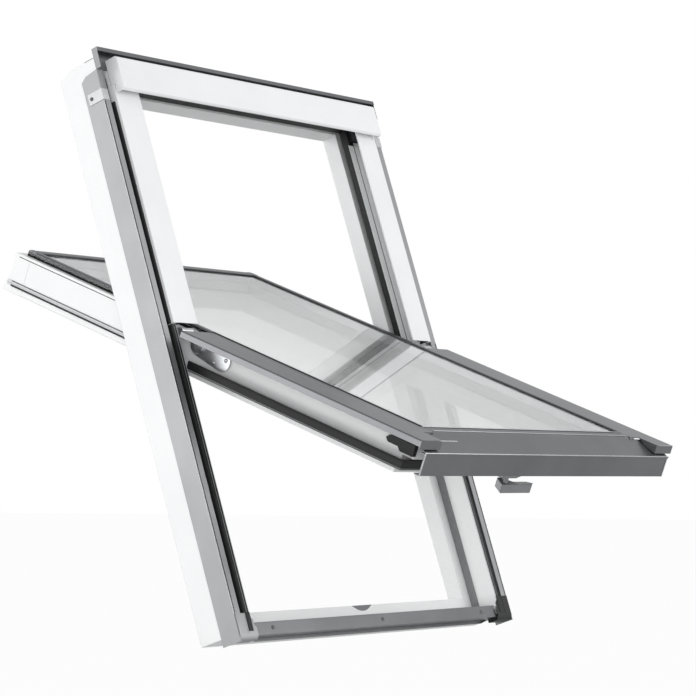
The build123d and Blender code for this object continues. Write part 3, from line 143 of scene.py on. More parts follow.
@dataclass(frozen=True)
class Finish:
    """One real finish: what the surface is, how it was made and how it takes the light.

    Attributes:
        name: Common name of the material and its finish.
        colour: Colour of the surface, sRGB hex.
        shade: Colour of its darker patches, sRGB hex.
        roughness: Shader roughness of the clean surface.
        texture: How the finish varies.
        grain_mm: Real spacing of that variation, in millimetres.
        relief_mm: Height of the fine relief, in millimetres.
        metallic: Shader metallic value.
        ior: Index of refraction, left at the shader's default for metals.
        coat: Strength of a clear film.
        transmission: Share of light let through.
    """

    name: str
    colour: str
    shade: str
    roughness: float
    texture: Texture
    grain_mm: float
    relief_mm: float = 0.0
    metallic: float = 0.0
    ior: float = 1.5
    coat: float = 0.0
    transmission: float = 0.0

    def build(self) -> bpy.types.Material:
        """Make the material once and return it.

        Returns:
            The Blender material of this finish.
        """
        known = bpy.data.materials.get(self.name)
        if known is not None:
            return known
        material = bpy.data.materials.new(self.name)
        material.use_nodes = True
        tree = material.node_tree
        tree.nodes.clear()
        place = add_node(tree, "ShaderNodeTexCoord").outputs["Object"]
        stretch = Vector((1.0, 1.0, 1.0)) / (self.grain_mm * MM)
        if self.texture is Texture.STREAKED:
            stretch.yz = (stretch.y / STREAK_LENGTH, stretch.z / STREAK_LENGTH)
        mapping = add_node(tree, "ShaderNodeMapping", {"Vector": place}, Scale=stretch)
        fine = add_node(
            tree,
            "ShaderNodeTexNoise",
            {"Vector": mapping.outputs["Vector"]},
            Scale=1.0,
            Detail=3.0,
            Roughness=0.6,
        )
        broad = add_node(
            tree, "ShaderNodeTexNoise", {"Vector": place}, Scale=CLOUD_SCALE, Detail=4.0
        )
        blend = add_node(
            tree,
            "ShaderNodeMath",
            {0: fine.outputs["Fac"], 1: broad.outputs["Fac"]},
            operation="MULTIPLY",
        )
        ramp = add_node(
            tree,
            "ShaderNodeMapRange",
            {"Value": blend.outputs["Value"]},
            From_Min=TINT_SPAN[0],
            From_Max=TINT_SPAN[1],
            To_Min=0.0,
            To_Max=1.0,
        )
        tint = add_node(
            tree, "ShaderNodeMix", {"Factor": ramp.outputs["Result"]}, data_type="RGBA"
        )
        tint_inputs = [s for s in tint.inputs if s.type == "RGBA"]
        tint_inputs[0].default_value = linear(self.shade)
        tint_inputs[1].default_value = linear(self.colour)
        wear = add_node(
            tree,
            "ShaderNodeMapRange",
            {"Value": fine.outputs["Fac"]},
            From_Min=WEAR_SPAN[0],
            From_Max=WEAR_SPAN[1],
            To_Min=max(self.roughness - WEAR_SWING, 0.0),
            To_Max=self.roughness + WEAR_SWING,
        )
        shader = add_node(
            tree,
            "ShaderNodeBsdfPrincipled",
            {"Roughness": wear.outputs["Result"]},
            Metallic=self.metallic,
            IOR=self.ior,
            Coat_Weight=self.coat,
            Transmission_Weight=self.transmission,
        )
        tinted = next(s for s in tint.outputs if s.type == "RGBA")
        tree.links.new(tinted, shader.inputs["Base Color"])
        if self.relief_mm > 0.0:
            bump = add_node(
                tree,
                "ShaderNodeBump",
                {"Height": fine.outputs["Fac"]},
                Strength=RELIEF_STRENGTH,
                Distance=self.relief_mm * MM,
            )
            tree.links.new(bump.outputs["Normal"], shader.inputs["Normal"])
        add_node(tree, "ShaderNodeOutputMaterial", {"Surface": shader.outputs["BSDF"]})
        return material


# Sprayed white lacquer over planed pine: a closed, softly glossy film, its grain filled
WHITE_LACQUER = Finish(
    "white_lacquered_pine", "#F6F6F6", "#F0F1F1", 0.32, Texture.SMOOTH, 3.0, 0.02, coat=0.25
)
# White polyester powder coat on folded sheet: satin, with the faint orange peel of baked powder
WHITE_POWDER = Finish(
    "white_powder_coated_sheet", "#F3F4F4", "#ECEDEE", 0.36, Texture.FLAKED, 1.2, 0.02
)
# Silver powder coat with metal flake on the frame's side plates: bright where light grazes it
SILVER_POWDER = Finish(
    "silver_powder_coated_aluminium",
    "#A4A5A7",
    "#979899",
    0.42,
    Texture.FLAKED,
    0.9,
    0.02,
    metallic=0.7,
)
# Grey flake coat on the weather sheets of sash and sill: darker, satin, finely mottled
GREY_POWDER = Finish(
    "grey_powder_coated_aluminium",
    "#808183",
    "#737476",
    0.3,
    Texture.FLAKED,
    0.9,
    0.02,
    metallic=0.9,
)
# Bright aluminium beads along the sheets' edges: painted highlights where the edges catch the
# light, with fine lines from the die
PAINTED_HIGHLIGHT_ALUMINIUM = Finish(
    "painted_highlight_aluminium", "#D6D7D8", "#C4C5C7", 0.24, Texture.STREAKED, 0.6, metallic=1.0
)
# Black glass-filled nylon mouldings: satin black, with spark-eroded grain
BLACK_NYLON = Finish(
    "black_moulded_nylon", "#141415", "#0F0F10", 0.55, Texture.SPECKLED, 0.6, 0.03
)
# Extruded silicone seal: deep black that hardly shines, drawn along its length; the same black
# paints shade lines on the side plates' deck, along the stiles and at the upper seals' edges
BLACK_SEAL_AND_PAINTED_SHADE = Finish(
    "black_silicone_and_painted_shade", "#0D0D0E", "#09090A", 0.55, Texture.STREAKED, 0.8, 0.02
)
# Bright zinc plate of hinge plates, their screws and the bolt: bluish shine, thin clouding
ZINC_PLATE = Finish(
    "bright_zinc_plated_steel", "#D2D4D6", "#C4C7CA", 0.3, Texture.SMOOTH, 16.0, metallic=1.0
)
# Dark passivated steel of the weather screws and keeper: low shine, slightly clouded
DARK_STEEL = Finish(
    "dark_passivated_steel", "#77797B", "#66686A", 0.36, Texture.SMOOTH, 6.0, metallic=0.9
)
# Grey anodised trim round the glass: satin, drawn lengthways, with no visible flake
GREY_BEAD = Finish(
    "grey_anodised_glazing_bead", "#6C6D6F", "#626365", 0.34, Texture.STREAKED, 0.8, metallic=0.9
)
# Satin zinc of the pressed straps on the side plates: a tone lighter than the plates
SATIN_ZINC = Finish(
    "satin_zinc_plated_strap", "#CBCCCD", "#BFC0C1", 0.46, Texture.SMOOTH, 6.0, metallic=0.7
)
# Light grey soft seal on the upper half of the sash: satin, drawn along its length; the same grey
# paints the highlight along the jamb gasket's lip
GREY_SEAL_AND_PAINTED_HIGHLIGHT = Finish(
    "light_grey_seal_and_painted_highlight", "#DCDDDE", "#D0D1D2", 0.42, Texture.STREAKED, 0.8, 0.02
)
# Mid grey soft seal on the lower ledges of the frame: matt, drawn along its length; the same grey
# paints highlight lines in the jamb gasket's dip and on the sash seal's ribs
LEDGE_SEAL_AND_PAINTED_HIGHLIGHT = Finish(
    "mid_grey_seal_and_painted_highlight", "#8C8E8F", "#7B7D7E", 0.6, Texture.STREAKED, 0.8, 0.03
)
# Cast zinc handle, satin lacquered in grey: soft shine on bevelled faces
SATIN_HANDLE = Finish(
    "satin_grey_cast_handle",
    "#9A9B9D",
    "#8D8E90",
    0.34,
    Texture.SPECKLED,
    0.7,
    0.01,
    metallic=0.7,
)
# Clear float glass: flat and even, with a trace of green
FLOAT_GLASS = Finish(
    "clear_float_glass",
    "#FBFCFC",
    "#F9FBFA",
    0.0,
    Texture.SMOOTH,
    40.0,
    ior=1.52,
    transmission=1.0,
)
# Rolled aluminium spacer between the panes: mill bright, streaked along its run
SPACER_ALUMINIUM = Finish(
    "mill_rolled_aluminium", "#C9CACB", "#BDBEC0", 0.38, Texture.STREAKED, 0.8, metallic=1.0
)
# Butyl and polysulphide edge seal of the glazing: soft black, no shine
EDGE_SEALANT = Finish(
    "black_glazing_sealant", "#141515", "#0F1010", 0.8, Texture.SPECKLED, 1.0, 0.02
)


@dataclass(frozen=True)
class EdgeRound:
    """How a piece's sharp edges are eased, so that they catch the light as real ones do.

    Attributes:
        radius_mm: Width of the eased edge.
        segments: Facets across it.
        weld_mm: Vertices of the CAD mesh nearer than this are joined.
        flat_deg: Faces that meet flatter than this become one face.
        sharp_deg: Edges that turn more than this are eased.
    """

    radius_mm: float
    segments: int = 2
    weld_mm: float = 0.005
    flat_deg: float = 0.5
    sharp_deg: float = 28.0

    def ease(self, piece: bpy.types.Object) -> None:
        """Add the modifiers that join, clean and ease a CAD node's edges.

        Args:
            piece: The CAD node's object.
        """
        for polygon in piece.data.polygons:
            polygon.use_smooth = True
        weld = piece.modifiers.new("joined_edges", "WELD")
        weld.merge_threshold = self.weld_mm * MM
        flat = piece.modifiers.new("clean_faces", "DECIMATE")
        flat.decimate_type = "DISSOLVE"
        flat.angle_limit = math.radians(self.flat_deg)
        bevel = piece.modifiers.new("eased_edges", "BEVEL")
        bevel.width = self.radius_mm * MM
        bevel.segments = self.segments
        bevel.limit_method = "ANGLE"
        bevel.angle_limit = math.radians(self.sharp_deg)
        bevel.use_clamp_overlap = True
        bevel.profile = 0.5
        normals = piece.modifiers.new("even_faces", "WEIGHTED_NORMAL")
        normals.keep_sharp = False


TIMBER_EDGE = EdgeRound(1.0, 3)
SHEET_EDGE = EdgeRound(0.35)
MOULDED_EDGE = EdgeRound(0.5)
PRESSED_EDGE = EdgeRound(0.4)


def both(stem: str) -> list[str]:
    """Names of a handed pair of nodes."""
    return [f"{stem}_{hand.word}" for hand in Hand]


def new_piece(
    name: str,
    mesh: bmesh.types.BMesh,
    place: Matrix,
    body: str,
    finish: Finish,
    smooth_below: float = 35.0,
) -> bpy.types.Object:
    """Put a finished bmesh, drawn in millimetres, into the scene.

    Args:
        name: Name of the piece.
        mesh: Its shape in the local millimetres of place; it is freed here.
        place: Matrix from those millimetres to the row frame in metres.
        body: CAD body that it rides on.
        finish: What it is made of.
        smooth_below: Faces that meet flatter than this many degrees shade as one surface.

    Returns:
        The new object.
    """
    bmesh.ops.transform(mesh, matrix=place, verts=mesh.verts)
    bmesh.ops.recalc_face_normals(mesh, faces=mesh.faces)
    data = bpy.data.meshes.new(name)
    mesh.to_mesh(data)
    mesh.free()
    for polygon in data.polygons:
        polygon.use_smooth = True
    data.set_sharp_from_angle(angle=math.radians(smooth_below))
    data.materials.append(finish.build())
    piece = bpy.data.objects.new(name, data)
    bpy.context.scene.collection.objects.link(piece)
    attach(piece, body)
    log.info("%s rides on %s in %s", name, body, finish.name)
    return piece


def turn_round(mesh: bmesh.types.BMesh, outline: list[Vector], sides: int) -> None:
    """Turn an open outline a full turn round +Z and merge its ends.

    Args:
        mesh: Mesh that takes the turned surface.
        outline: Points of the outline, in order.
        sides: Facets round the axis.
    """
    points = [mesh.verts.new(point) for point in outline]
    edges = [mesh.edges.new(pair) for pair in zip(points, points[1:])]
    bmesh.ops.spin(
        mesh,
        geom=points + edges,
        cent=(0, 0, 0),
        axis=(0, 0, 1),
        angle=math.tau,
        steps=sides,
        use_merge=True,
    )
    bmesh.ops.remove_doubles(mesh, verts=mesh.verts, dist=SAME_POINT)


@dataclass
class WindowPlaces:
    """Working planes of the window, from its driving sizes and its joint's range.

    Attributes:
        pitch: Angle of the frame's plane above level, in degrees.
        sill_width: Width of the sill timber, in millimetres, whose middle is the origin.
        pivot_v: Height of the pivot up the slope from the frame's lower edge.
        pivot_w: Height of the pivot out from the room side.
        pivot_a: Distance of the pivot from the tip of the sash covers.
        pivot_b: Height of the pivot above the top of the sash covers.
    """

    pitch: float = 71.6
    sill_width: float = 44.5
    pivot_v: float = 505.0
    pivot_w: float = 88.0
    pivot_a: float = 528.6
    pivot_b: float = -8.0

    @property
    def open_angle(self) -> float:
        """Read how far the sash stands open at rest from its joint's range.

        Returns:
            The angle in degrees.
        """
        joints = frame["record"]["behaviour"]["joints"]
        pivot = next(j for j in joints if j["name"] == "sash_pivot")
        return -pivot["range_deg"][0]

    @property
    def slope(self) -> Matrix:
        """Place the outer frame: across, up the slope and outward, in millimetres.

        Returns:
            Matrix from those millimetres to the row frame in metres.
        """
        lean = Matrix.Rotation(math.radians(self.pitch), 4, "X")
        shift = Matrix.Translation((0.0, -self.sill_width / 2, 0.0))
        return Matrix.Scale(MM, 4) @ lean @ shift

    @property
    def sash(self) -> Matrix:
        """Place the open sash: across, up the sash and outward, in millimetres.

        Returns:
            Matrix from those millimetres to the row frame in metres.
        """
        swing = Matrix.Rotation(-math.radians(self.open_angle), 4, "X")
        to_pivot = Matrix.Translation((0.0, self.pivot_v, self.pivot_w))
        from_pivot = Matrix.Translation((0.0, -self.pivot_a, -self.pivot_b))
        return self.slope @ to_pivot @ swing @ from_pivot


PLACES = WindowPlaces()


@dataclass
class CarriedNodes:
    """CAD nodes whose solids already have the right form: they get finishes and eased edges.

    Attributes:
        finish: Their finish.
        edge: How their edges are eased, or None where the form is too fine.
        nodes: Names of the nodes.
    """

    finish: Finish
    edge: EdgeRound | None
    nodes: list[str]

    def dress(self) -> None:
        """Give every node its finish and its eased edges."""
        material = self.finish.build()
        for name in self.nodes:
            piece = frame["nodes"][name]
            for slot in piece.material_slots:
                slot.material = material
            if self.edge is not None:
                self.edge.ease(piece)
            log.info("%s dressed in %s", name, self.finish.name)


@dataclass
class PanScrew:
    """A low round-headed screw with a cross recess.

    Attributes:
        head_radius: Radius of the head, in millimetres.
        head_height: Height of the head.
        dome: Points of the dome, as shares of that radius and height.
        cross_length: Length of each arm of the recess, end to end.
        cross_width: Width of the arms.
        cross_depth: Depth of the recess.
        cross_wall: Width of the recess's sloping wall.
        crown_share: Radius of the flat crown, as a share of the arms' length.
        level_within: How near the crown's height a face of the crown lies.
        sides: Facets round the head.
    """

    head_radius: float = 3.5
    head_height: float = 1.4
    dome: Points = ((0.72, 0.86), (0.93, 0.5), (1.0, 0.0))
    cross_length: float = 3.4
    cross_width: float = 0.8
    cross_depth: float = 0.7
    cross_wall: float = 0.18
    crown_share: float = 0.62
    level_within: float = 0.02
    sides: int = 32

    def draw(self) -> bmesh.types.BMesh:
        """Turn the head's outline round its axis and press the cross into its crown.

        Returns:
            The screw head, standing on the local XY plane, its crown up +Z.
        """
        mesh = bmesh.new()
        outline = [Vector((self.cross_length * self.crown_share, 0.0, self.head_height))]
        for across, up in self.dome:
            outline.append(Vector((self.head_radius * across, 0.0, self.head_height * up)))
        turn_round(mesh, outline, self.sides)
        top = [v for v in mesh.verts if abs(v.co.z - self.head_height) < SAME_POINT]
        ring = [e for e in mesh.edges if e.verts[0] in top and e.verts[1] in top]
        bmesh.ops.contextual_create(mesh, geom=ring)
        self.press_cross(mesh)
        base = [e for e in mesh.edges if e.is_boundary]
        bmesh.ops.contextual_create(mesh, geom=base)
        return mesh

    def crown_faces(self, mesh: bmesh.types.BMesh) -> list[bmesh.types.BMFace]:
        """List the faces that lie at the crown's height.

        Args:
            mesh: The screw head.

        Returns:
            The faces of its flat crown.
        """
        found = []
        for face in mesh.faces:
            if abs(face.calc_center_median().z - self.head_height) < self.level_within:
                found.append(face)
        return found

    def press_cross(self, mesh: bmesh.types.BMesh) -> None:
        """Cut the flat crown along the arms of the cross and press them in.

        Args:
            mesh: The screw head.
        """
        half = self.cross_width / 2
        for normal in (Vector((1, 0, 0)), Vector((0, 1, 0))):
            for sign in (-1, 1):
                faces = self.crown_faces(mesh)
                edges = list(dict.fromkeys(e for f in faces for e in f.edges))
                verts = list(dict.fromkeys(v for f in faces for v in f.verts))
                bmesh.ops.bisect_plane(
                    mesh,
                    geom=faces + edges + verts,
                    plane_co=normal * half * sign,
                    plane_no=normal,
                    dist=SAME_POINT / 10,
                )
        arms = []
        for face in self.crown_faces(mesh):
            middle = face.calc_center_median()
            if min(abs(middle.x), abs(middle.y)) < half:
                arms.append(face)
        bmesh.ops.inset_region(
            mesh, faces=arms, thickness=self.cross_wall, depth=0.0, use_even_offset=True
        )
        pressed = list(dict.fromkeys(v for f in arms for v in f.verts))
        bmesh.ops.translate(mesh, verts=pressed, vec=(0, 0, -self.cross_depth))


@dataclass
class ScrewSet:
    """A group of like screws on one body, standing for one fastener node.

    Attributes:
        name: Name of the group's piece.
        node: CAD node that it stands for.
        body: Body that it rides on.
        screw: The screw.
        finish: What the screws are made of.
        turn: How far each screw's cross is turned from the last, in degrees.
    """

    name: str
    node: str
    body: str
    screw: PanScrew
    finish: Finish
    turn: float = 37.0

    def build(self, seats: list[Matrix]) -> bpy.types.Object:
        """Place a screw on every seat and join them.

        Args:
            seats: Matrices from a screw's own millimetres to those of the row frame in metres.

        Returns:
            The group as one object.
        """
        group = bmesh.new()
        for count, seat in enumerate(seats):
            head = self.screw.draw()
            spin = Matrix.Rotation(math.radians(self.turn * count), 4, "Z")
            bmesh.ops.transform(head, matrix=seat @ spin, verts=head.verts)
            data = bpy.data.meshes.new("screw_head")
            head.to_mesh(data)
            head.free()
            group.from_mesh(data)
            bpy.data.meshes.remove(data)
        piece = new_piece(self.name, group, Matrix.Identity(4), self.body, self.finish)
        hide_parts(self.node)
        return piece


@dataclass
class Fasteners:
    """Every visible screw of the window.

    Attributes:
        sill_screw_u: Place of the outer sill screws across the window.
        sill_screw_v: Their place up the slope.
        sill_deck: Height of the sill cladding's top.
        strap_face: Outer face of the straps, across the window.
        strap_v: Place of the strap screws up the slope.
        strap_w: Their height.
        hinge_face: Outer face of the sash hinge plates, across the window.
        hinge_screws: Places of the hinge screws, up the sash and outward.
    """

    sill_screw_u: float = 300.0
    sill_screw_v: float = 6.0
    sill_deck: float = 80.0
    strap_face: float = 392.4
    strap_v: float = 924.0
    strap_w: float = 58.4
    hinge_face: float = 324.0
    hinge_screws: Points = ((444.0, -28.0), (468.0, -40.0))

    def build(self) -> None:
        """Make the sill, strap and hinge screws."""
        screw = PanScrew()
        sill = [
            PLACES.slope @ Matrix.Translation((u, self.sill_screw_v, self.sill_deck))
            for u in (-self.sill_screw_u, 0.0, self.sill_screw_u)
        ]
        ScrewSet("sill_screw_heads", "sill_screws", "frame", screw, DARK_STEEL).build(sill)
        straps = []
        hinges = []
        for hand in Hand:
            face = Matrix.Translation((hand.value * self.strap_face, self.strap_v, self.strap_w))
            straps.append(PLACES.slope @ face @ hand.outward)
            for a, b in self.hinge_screws:
                seat = Matrix.Translation((hand.value * self.hinge_face, a, b))
                hinges.append(PLACES.sash @ seat @ hand.outward)
        ScrewSet("strap_screw_heads", "strap_screws", "frame", screw, DARK_STEEL).build(straps)
        ScrewSet("hinge_screw_heads", "hinge_screws", "sash", screw, ZINC_PLATE).build(hinges)


@dataclass
class GlassGasket:
    """The thin black line of rubber round the pane, inside its trims.

    Attributes:
        inner_u: Inner edge across the window.
        width: Width of the visible line.
        low_a: Lower edge up the sash.
        high_a: Upper edge up the sash.
        rise: Height above the pane.
        pane_b: Height of the pane's outer face.
    """

    inner_u: float = 290.6
    width: float = 2.1
    low_a: float = 63.6
    high_a: float = 921.4
    rise: float = 0.8
    pane_b: float = -1.45

    def build(self) -> bpy.types.Object:
        """Inset a ring from the pane's rectangle and raise it.

        Returns:
            The gasket.
        """
        mesh = bmesh.new()
        bmesh.ops.create_grid(mesh, x_segments=1, y_segments=1, size=0.5)
        length = self.high_a - self.low_a
        outer = 2 * (self.inner_u + self.width)
        bmesh.ops.scale(mesh, vec=(outer, length, 1.0), verts=mesh.verts)
        middle = (self.high_a + self.low_a) / 2
        bmesh.ops.translate(mesh, vec=(0.0, middle, self.pane_b), verts=mesh.verts)
        pane = list(mesh.faces)
        bmesh.ops.inset_region(
            mesh, faces=pane, thickness=self.width, use_boundary=True, use_even_offset=True
        )
        bmesh.ops.delete(mesh, geom=pane, context="FACES")
        ring = list(mesh.faces)
        raised = bmesh.ops.extrude_face_region(mesh, geom=ring, use_keep_orig=True)["geom"]
        lifted = [v for v in raised if isinstance(v, bmesh.types.BMVert)]
        bmesh.ops.translate(mesh, vec=(0.0, 0.0, self.rise), verts=lifted)
        return new_piece("glass_gasket", mesh, PLACES.sash, "sash", BLACK_SEAL_AND_PAINTED_SHADE)


@dataclass
class Strip:
    """A long piece of one section: an extruded seal, or a thin bead or strip that paints a
    highlight or a shade line.

    Attributes:
        name: Name of the piece.
        section: Corners of the section, in the two millimetre directions across the run.
        run: Where it starts and ends.
        finish: What it is made of.
        material_slot: The record's slot of that finish; not used.
        axis: Direction of the run: 0 across the window, 1 up it, 2 outward.
        smooth_below: Faces that meet flatter than this many degrees shade as one surface.
    """

    name: str
    section: Points
    run: Pair
    finish: Finish = BLACK_SEAL_AND_PAINTED_SHADE
    material_slot: str = "seal_rubber"
    axis: int = 1
    smooth_below: float = 50.0

    def build(self, place: Matrix, body: str, hand: Hand | None = None) -> bpy.types.Object:
        """Extrude the section along its run.

        Args:
            place: Matrix from the strip's millimetres to the row frame.
            body: CAD body that it rides on.
            hand: Side of the window, or None for a single middle piece.

        Returns:
            The strip.
        """
        mesh = bmesh.new()
        side = 1 if hand is None else hand.value
        start, end = self.run
        corners = []
        for pair in self.section:
            corner = list(pair)
            corner.insert(self.axis, start)
            corners.append(mesh.verts.new((side * corner[0], corner[1], corner[2])))
        edges = [mesh.edges.new(pair) for pair in zip(corners, corners[1:] + corners[:1])]
        end_face = bmesh.ops.contextual_create(mesh, geom=edges)["faces"]
        drawn = bmesh.ops.extrude_face_region(mesh, geom=end_face, use_keep_orig=True)["geom"]
        far = [v for v in drawn if isinstance(v, bmesh.types.BMVert)]
        travel = Vector((0.0, 0.0, 0.0))
        travel[self.axis] = end - start
        bmesh.ops.translate(mesh, vec=travel, verts=far)
        name = self.name if hand is None else f"{self.name}_{hand.word}"
        return new_piece(
            name, mesh, place, body, self.finish, self.smooth_below
        )


def round_section(first: float, second: float, radius: float, sides: int = 12) -> Points:
    """Corners of a round bead's section.

    Args:
        first: Centre in the first direction.
        second: Centre in the second direction.
        radius: Radius of the bead.
        sides: Number of corners.

    Returns:
        The corners, in order.
    """
    turns = [math.tau * i / sides for i in range(sides)]
    return tuple((first + radius * math.cos(t), second + radius * math.sin(t)) for t in turns)


def flat_section(flat: Pair, out: Pair) -> Points:
    """Corners of a flat strip's section.

    Args:
        flat: Its two limits in the first direction.
        out: Its two limits in the second direction.

    Returns:
        The corners, in order.
    """
    return ((flat[0], out[0]), (flat[1], out[0]), (flat[1], out[1]), (flat[0], out[1]))


@dataclass
class JambTrims:
    """Thin seals, beads and lines that run up the outer frame, some of them painted highlights
    and shade lines: too fine for the solids.

    Attributes:
        wall_u: Inner wall of the jamb.
        channel_u: Inner wall of the jamb's channel.
        deck_u: Outer edge of the side cladding's deck.
        deck: Height of the jamb's outer face.
        lower: Run of the jamb gasket, up the slope to the upper cover.
        corner_start: Lower end of the gasket on the sill corners.
        corner_top: Height of the sill corners' plates.
        cover_top: Where the seals beside the upper covers end, under the hood.
        leg: Outer face of the gaskets' leg, outward of the channel's inner wall.
        dip: Place of the dip between the gasket's beads, inward of that wall.
        leg_depth: Depth of the leg in the channel.
        fine_bead: Radius of the fine beads in the dip and along the lip, which paint the gasket's
            highlights.
        plate_highlight: Radius of the bright bead that paints the highlight along the plates'
            edge.
        ledge: Height of the frame seal's outer face.
        ledge_run: Run of the white strips on the frame seal.
        strip_u: Inner edge of those strips.
        line_u: Both edges of the black line on them.
    """

    wall_u: float = 355.0
    channel_u: float = 364.5
    deck_u: float = 391.2
    deck: float = 81.0
    lower: Pair = (33.0, 518.5)
    corner_start: float = 2.0
    corner_top: float = 83.5
    cover_top: float = 912.0
    leg: float = 1.7
    dip: float = 4.1
    leg_depth: float = 10.5
    fine_bead: float = 0.7
    plate_highlight: float = 0.75
    ledge: float = 57.1
    ledge_run: Pair = (519.5, 922.0)
    strip_u: float = 322.0
    line_u: Pair = (337.5, 339.0)

    def gasket_section(self) -> Points:
        """Draw the gasket on the jamb: a leg in the channel and two beads over the wall.

        Returns:
            The corners of its section.
        """
        leg = self.channel_u + self.leg
        dip = self.channel_u - self.dip
        inner = self.wall_u + 0.2
        return (
            (self.channel_u + 0.1, self.deck - self.leg_depth),
            (leg, self.deck - self.leg_depth),
            (leg, self.deck + 1.6),
            (leg - 0.8, self.deck + 2.6),
            (leg - 3.2, self.deck + 3.0),
            (dip + 0.8, self.deck + 2.5),
            (dip, self.deck + 1.5),
            (dip - 0.8, self.deck + 2.5),
            (dip - 2.8, self.deck + 3.2),
            (inner + 0.6, self.deck + 2.7),
            (inner, self.deck + 1.6),
            (inner, self.deck + 1.35),
            (inner + 2.8, self.deck + 1.35),
            (inner + 2.8, self.deck - 0.4),
            (self.channel_u + 0.1, self.deck - 0.45),
        )

    def corner_section(self) -> Points:
        """Draw the gasket where it lies flat on a sill corner, with the same dip.

        Returns:
            The corners of its section.
        """
        leg = self.channel_u + self.leg
        inner = self.wall_u + 0.2
        return (
            (inner, self.corner_top),
            (leg, self.corner_top),
            (leg, self.corner_top + 1.1),
            (leg - 3.2, self.corner_top + 1.5),
            (self.channel_u - self.dip, self.corner_top + 0.8),
            (inner + 2.3, self.corner_top + 1.5),
            (inner, self.corner_top + 1.0),
        )

    def foot_section(self) -> Points:
        """Draw the seal at the upper cover's foot, outward of the gasket's leg.

        Returns:
            The corners of its section.
        """
        leg = self.channel_u + self.leg
        return (
            (leg, self.deck - 5.2),
            (leg + 2.9, self.deck - 5.2),
            (leg + 2.9, self.deck + 2.2),
            (leg + 1.9, self.deck + 3.4),
            (leg, self.deck + 3.4),
        )

    def strips(self, hand: Hand) -> list[Strip]:
        """List one side's strips; on the right the plate's stop at the upper cover.

        Args:
            hand: Side of the window.

        Returns:
            The strips, not yet built.
        """
        low, high = self.lower
        seen = (low, self.cover_top if hand is Hand.LEFT else high)
        lip_height = self.deck + 2.2
        dip_u = self.channel_u - self.dip
        # A bright bead paints the highlight along the plate's edge, and a black strip beside it
        # paints its shadow line
        plate_edge = round_section(self.deck_u - 0.4, self.deck + 1.0, self.plate_highlight)
        plate_shade_line = flat_section(
            (self.deck_u - 3.2, self.deck_u - 1.2), (self.deck + 1.25, self.deck + 1.6)
        )
        white = flat_section((self.strip_u, self.wall_u - 0.4), (self.ledge, self.ledge + 0.4))
        line = flat_section(self.line_u, (self.ledge + 0.45, self.ledge + 0.8))
        # Light grey beads paint the black gasket's highlights in its dip and along its lip
        dip_highlight = round_section(dip_u, lip_height, self.fine_bead)
        lip_highlight = round_section(self.wall_u + 0.3, lip_height, self.fine_bead)
        return [
            Strip("corner_gasket", self.corner_section(), (self.corner_start, low - 0.3)),
            Strip("plate_edge_highlight", plate_edge, seen, PAINTED_HIGHLIGHT_ALUMINIUM, "cladding_silver"),
            Strip("deck_shade_line", plate_shade_line, seen),
            Strip("ledge_strip", white, self.ledge_run, WHITE_LACQUER, "painted_frame"),
            Strip("ledge_line", line, self.ledge_run),
            Strip("gasket_dip_highlight", dip_highlight, self.lower, LEDGE_SEAL_AND_PAINTED_HIGHLIGHT),
            Strip("gasket_lip_highlight", lip_highlight, self.lower, GREY_SEAL_AND_PAINTED_HIGHLIGHT),
            Strip("cover_foot_seal", self.foot_section(), (high + 1.0, self.cover_top)),
            Strip("jamb_gasket", self.gasket_section(), self.lower),
        ]

    def build(self) -> None:
        """Build both sides' strips on the frame."""
        for hand in Hand:
            for strip in self.strips(hand):
                strip.build(PLACES.slope, "frame", hand)


